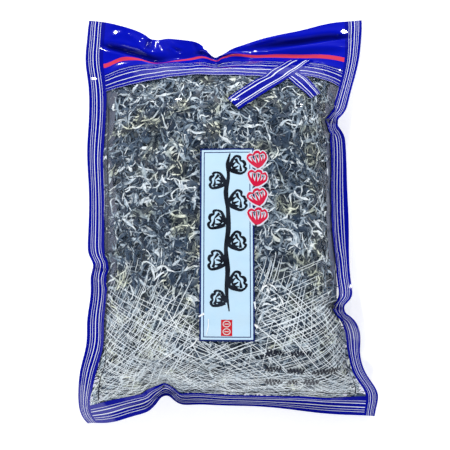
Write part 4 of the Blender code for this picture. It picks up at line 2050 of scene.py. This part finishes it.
@dataclass(frozen=True)
class PackFinish:
    """The dark mass of shreds that shows in the gaps between the strewn ones."""

    name: str = "packed_mass"
    dark: Colour = (0.008, 0.012, 0.018)
    pale: Colour = (0.16, 0.19, 0.20)
    roughness: float = 0.7

    def material(self) -> bpy.types.Material:
        """Nearly black, with streaks in a paler grey and a rough, lumpy surface."""
        material, sketch, shader = new_material(self.name)
        streaks = sketch.noise(sketch.place(), scale=190.0, detail=5.0, distortion=1.6)
        colour = sketch.ramp(streaks, ((0.42, self.dark), (0.68, self.pale)))
        lumps = sketch.bump(streaks, 0.9, 2 * MM)
        sketch.fill(shader, {"Base Color": colour, "Normal": lumps, "Roughness": self.roughness})
        return material


class Pouch:
    """The whole dressed pouch."""

    CELL = 2.0

    def __init__(self, frame: dict, studio: Studio) -> None:
        """Measures both sheets of film, with patches that mirror the studio's lamps."""
        self.frame = frame
        form = PouchForm()
        plain = Skin(form, Side.FRONT)
        lamps = {lamp.name: np.array(lamp.place) for lamp in studio.lamps}
        facets = [glint.facet(plain, lamps[glint.lamp], np.array(studio.eye())) for glint in GLINTS]
        self.skins = {side: Skin(form, side, facets) for side in Side}
        self.border = BorderPrint()
        self.label = Label()
        self.s_lines = lines_between((-HALF_WIDTH, -SIDE_LINE, SIDE_LINE, HALF_WIDTH), self.CELL)
        self.t_lines = lines_between((-HALF_LENGTH, -197, 145, HALF_LENGTH), self.CELL)

    def film(self) -> None:
        """Both sheets of clear film, each over the whole pouch."""
        finish = FilmFinish().material()
        for side, skin in self.skins.items():
            name = side.name.lower()
            made = sheet(f"{name}_clear_film", skin, self.s_lines, self.t_lines, 0.0)
            made.data.materials.append(finish)
            hand_over(made, "printed_film", f"{name}_film")

    def borders(self) -> None:
        """The striped border on both sheets and the blue rim where they are sealed."""
        ink = self.border.material("border_ink")
        for side, skin in self.skins.items():
            name = f"{side.name.lower()}_border_print"
            made = sheet(name, skin, self.s_lines, self.t_lines, -Layer.FIRST.value, self.border.keep)
            made.data.materials.append(ink)
            hand_over(made, "blue_print")
        self._rim()

    def _rim(self) -> None:
        """A thin strip that closes the edge between the two sheets."""
        s, t = self.s_lines, self.t_lines
        s_round = np.concatenate([s, np.full_like(t, s[-1]), s[::-1], np.full_like(t, s[0])])
        t_round = np.concatenate([np.full_like(s, t[0]), t, np.full_like(s, t[-1]), t[::-1]])
        rows = [skin.place(s_round, t_round, -Layer.FIRST.value) for skin in self.skins.values()]
        count = len(s_round)
        around = np.arange(count)
        after = (around + 1) % count
        faces = np.stack([around + count, after + count, after, around], axis=1)
        made = new_mesh("sealed_rim", np.concatenate(rows), faces)
        hand_over(painted(made, InkFinish("rim_blue", INKS.blue, INKS.deep_blue)), "blue_print")

    def ribbons(self) -> None:
        """The two crossed ribbons printed at the header's right."""
        under = Ribbon(
            "under_ribbon",
            ((57, 143), (62, 136), (67, 128), (74, 120), (80, 115), (87, 110)),
            ((70, 149), (76, 144), (82, 140), (87, 134), (94, 126), (101, 120)),
            Layer.SECOND,
        )
        over = Ribbon(
            "over_ribbon",
            ((66, 164), (53, 153), (42, 145), (32, 137), (21, 126), (11, 116), (1, 106)),
            ((95, 165), (80, 151), (67, 141), (52, 128), (38, 116), (25, 105), (12, 95)),
            Layer.THIRD,
        )
        for ribbon in (under, over):
            hand_over(ribbon.build(self.skins[Side.FRONT]), "blue_print")

    def label_and_marks(self) -> None:
        """The label, the drawing on it, its red square and the red marks beside it."""
        skin = self.skins[Side.FRONT]
        hand_over(self.label.build(skin), "label_print")
        drawing = LabelDrawing()
        hand_over(drawing.brush(skin, self.label.middle), "label_print")
        red, white = drawing.square(skin, self.label.middle)
        hand_over(red, "red_print")
        hand_over(white, "white_print")
        outline, marks = RedMarks().build(skin)
        hand_over(outline, "white_print")
        hand_over(marks, "red_print")

    def window(self) -> None:
        """The white strokes over the lower window, what lies on them with the painted glint streaks, and the
        trim along its edges with its painted shade.
        """
        skin = self.skins[Side.FRONT]
        hand_over(Hatching().build(skin, self.label), "white_print")
        hand_over(WavyRows().build(skin), "label_print")
        # Painted highlights: white streaks in place of glints on the film's crumples
        hand_over(PaintedGlintStreaks().build(skin), "white_print")
        trim = WindowTrim()
        hand_over(trim.crease_shade_lines(skin), "label_print")
        hand_over(trim.margins(skin), "printed_film")

    def shreds(self) -> None:
        """The shreds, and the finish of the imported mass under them."""
        single = [name for name in self.frame["nodes"] if name.startswith("shred_")]
        for made in Shreds().build(self.skins):
            hand_over(made, "pale_shreds", *(single if made.name == "front_shreds_upper" else ()))
        mass = self.frame["nodes"]["packed_shreds"]
        mass.data.materials.clear()
        mass.data.materials.append(PackFinish().material())


def painted(piece: Thing, finish: InkFinish) -> Thing:
    """Gives a piece its one finish and returns it."""
    piece.data.materials.append(finish.material())
    return piece


def hand_over(piece: Thing, slot: str, *replaced: str) -> None:
    """Rides a piece on the pouch's one body, hides the imported parts that it replaces, and reports it."""
    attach(piece, BODY)
    if replaced:
        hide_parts(*replaced)
    LOG.info("%s: %d faces", piece.name, len(piece.data.polygons))


@dataclass(frozen=True)
class Lamp:
    """A small square lamp that points at the pouch: its place and size in metres and its power."""

    name: str
    place: tuple[float, float, float]
    size: float
    power: float

    def build(self) -> None:
        """Sets it up."""
        lamp = bpy.data.lights.new(self.name, "AREA")
        lamp.energy = self.power
        lamp.size = self.size
        stood(self.name, lamp, Vector(self.place), Vector((0, 0, 0.03)))


def stood(name: str, data: bpy.types.ID, place: Vector, target: Vector) -> Thing:
    """Puts a lamp or a camera in the scene.

    Args:
        name: its name.
        data: the lamp or camera.
        place: where it stands.
        target: what it points at.

    Returns:
        Its object.
    """
    made = bpy.data.objects.new(name, data)
    made.location = place
    made.rotation_euler = (target - place).to_track_quat("-Z", "Y").to_euler()
    bpy.context.scene.collection.objects.link(made)
    return made


@dataclass(frozen=True)
class Studio:
    """A pale floor, soft light from all around, small lamps and the camera above the pouch."""

    target: tuple[float, float, float] = (-0.002, -0.0151, 0.03)
    tilt: float = 82.0
    distance: float = 0.72
    lens: float = 57.6
    lamps: tuple[Lamp, ...] = (
        Lamp("back_left_lamp", (-0.55, 1.25, 1.0), 0.10, 10.5),
        Lamp("back_right_lamp", (0.80, 1.1, 0.85), 0.10, 8.5),
        Lamp("front_lamp", (-0.45, -1.15, 1.0), 0.70, 9.5),
        Lamp("small_lamp", (0.0, 0.9, 0.75), 0.05, 1.6),
    )
    floor_half: float = 3
    floor_gap: float = 0.3 * MM
    floor_glow: float = 0.45
    sky: Colour = (1.0, 1.03, 1.08)
    overhead: Colour = (0.22, 0.23, 0.26)
    strength: float = 0.52

    def eye(self) -> Vector:
        """Where the camera stands."""
        tilt = math.radians(self.tilt)
        return Vector(self.target) + self.distance * Vector((0, -math.cos(tilt), math.sin(tilt)))

    def build(self) -> None:
        """Sets everything up."""
        scene = bpy.context.scene
        scene.view_settings.view_transform = "Standard"
        self._floor()
        self._world()
        for lamp in self.lamps:
            lamp.build()
        camera = bpy.data.cameras.new("camera")
        camera.lens = self.lens
        scene.camera = stood("camera", camera, self.eye(), Vector(self.target))

    def _floor(self) -> None:
        """The pale floor."""
        far, low = self.floor_half, -self.floor_gap
        corners = np.array([(-far, -far, low), (far, -far, low), (far, far, low), (-far, far, low)])
        floor = new_mesh("floor", corners, [(0, 1, 2, 3)])
        material, sketch, shader = new_material("pale_floor")
        colour = {"Base Color": (0.95, 0.95, 0.95, 1), "Roughness": 0.8}
        glow = {"Emission Color": (1.0, 1.0, 1.0, 1), "Emission Strength": self.floor_glow}
        sketch.fill(shader, {**colour, **glow})
        floor.data.materials.append(material)
        floor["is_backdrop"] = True

    def _world(self) -> None:
        """Light from all around, brighter towards the horizon than overhead."""
        world = bpy.data.worlds.new("studio")
        world.use_nodes = True
        sketch = Sketch(world.node_tree)
        up = sketch.split(sketch.place("Generated"))[2]
        colour = sketch.mix(sketch.climb(up, 0.60, 0.92, 1.0), (*self.sky, 1), (*self.overhead, 1))
        sketch.fill(world.node_tree.nodes["Background"], {0: colour, 1: self.strength})
        bpy.context.scene.world = world


def main() -> None:
    """Builds the pouch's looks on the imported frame."""
    logging.basicConfig(level=logging.INFO, format="%(name)s: %(message)s")
    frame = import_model()
    cad_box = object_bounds()
    studio = Studio()
    pouch = Pouch(frame, studio)
    pouch.film()
    pouch.borders()
    pouch.ribbons()
    pouch.label_and_marks()
    pouch.window()
    pouch.shreds()
    studio.build()
    boxes = {"cad": cad_box, "visual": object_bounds()}
    sizes = {title: [list(map(float, corner)) for corner in box] for title, box in boxes.items()}


if __name__ == "__main__":
    main()
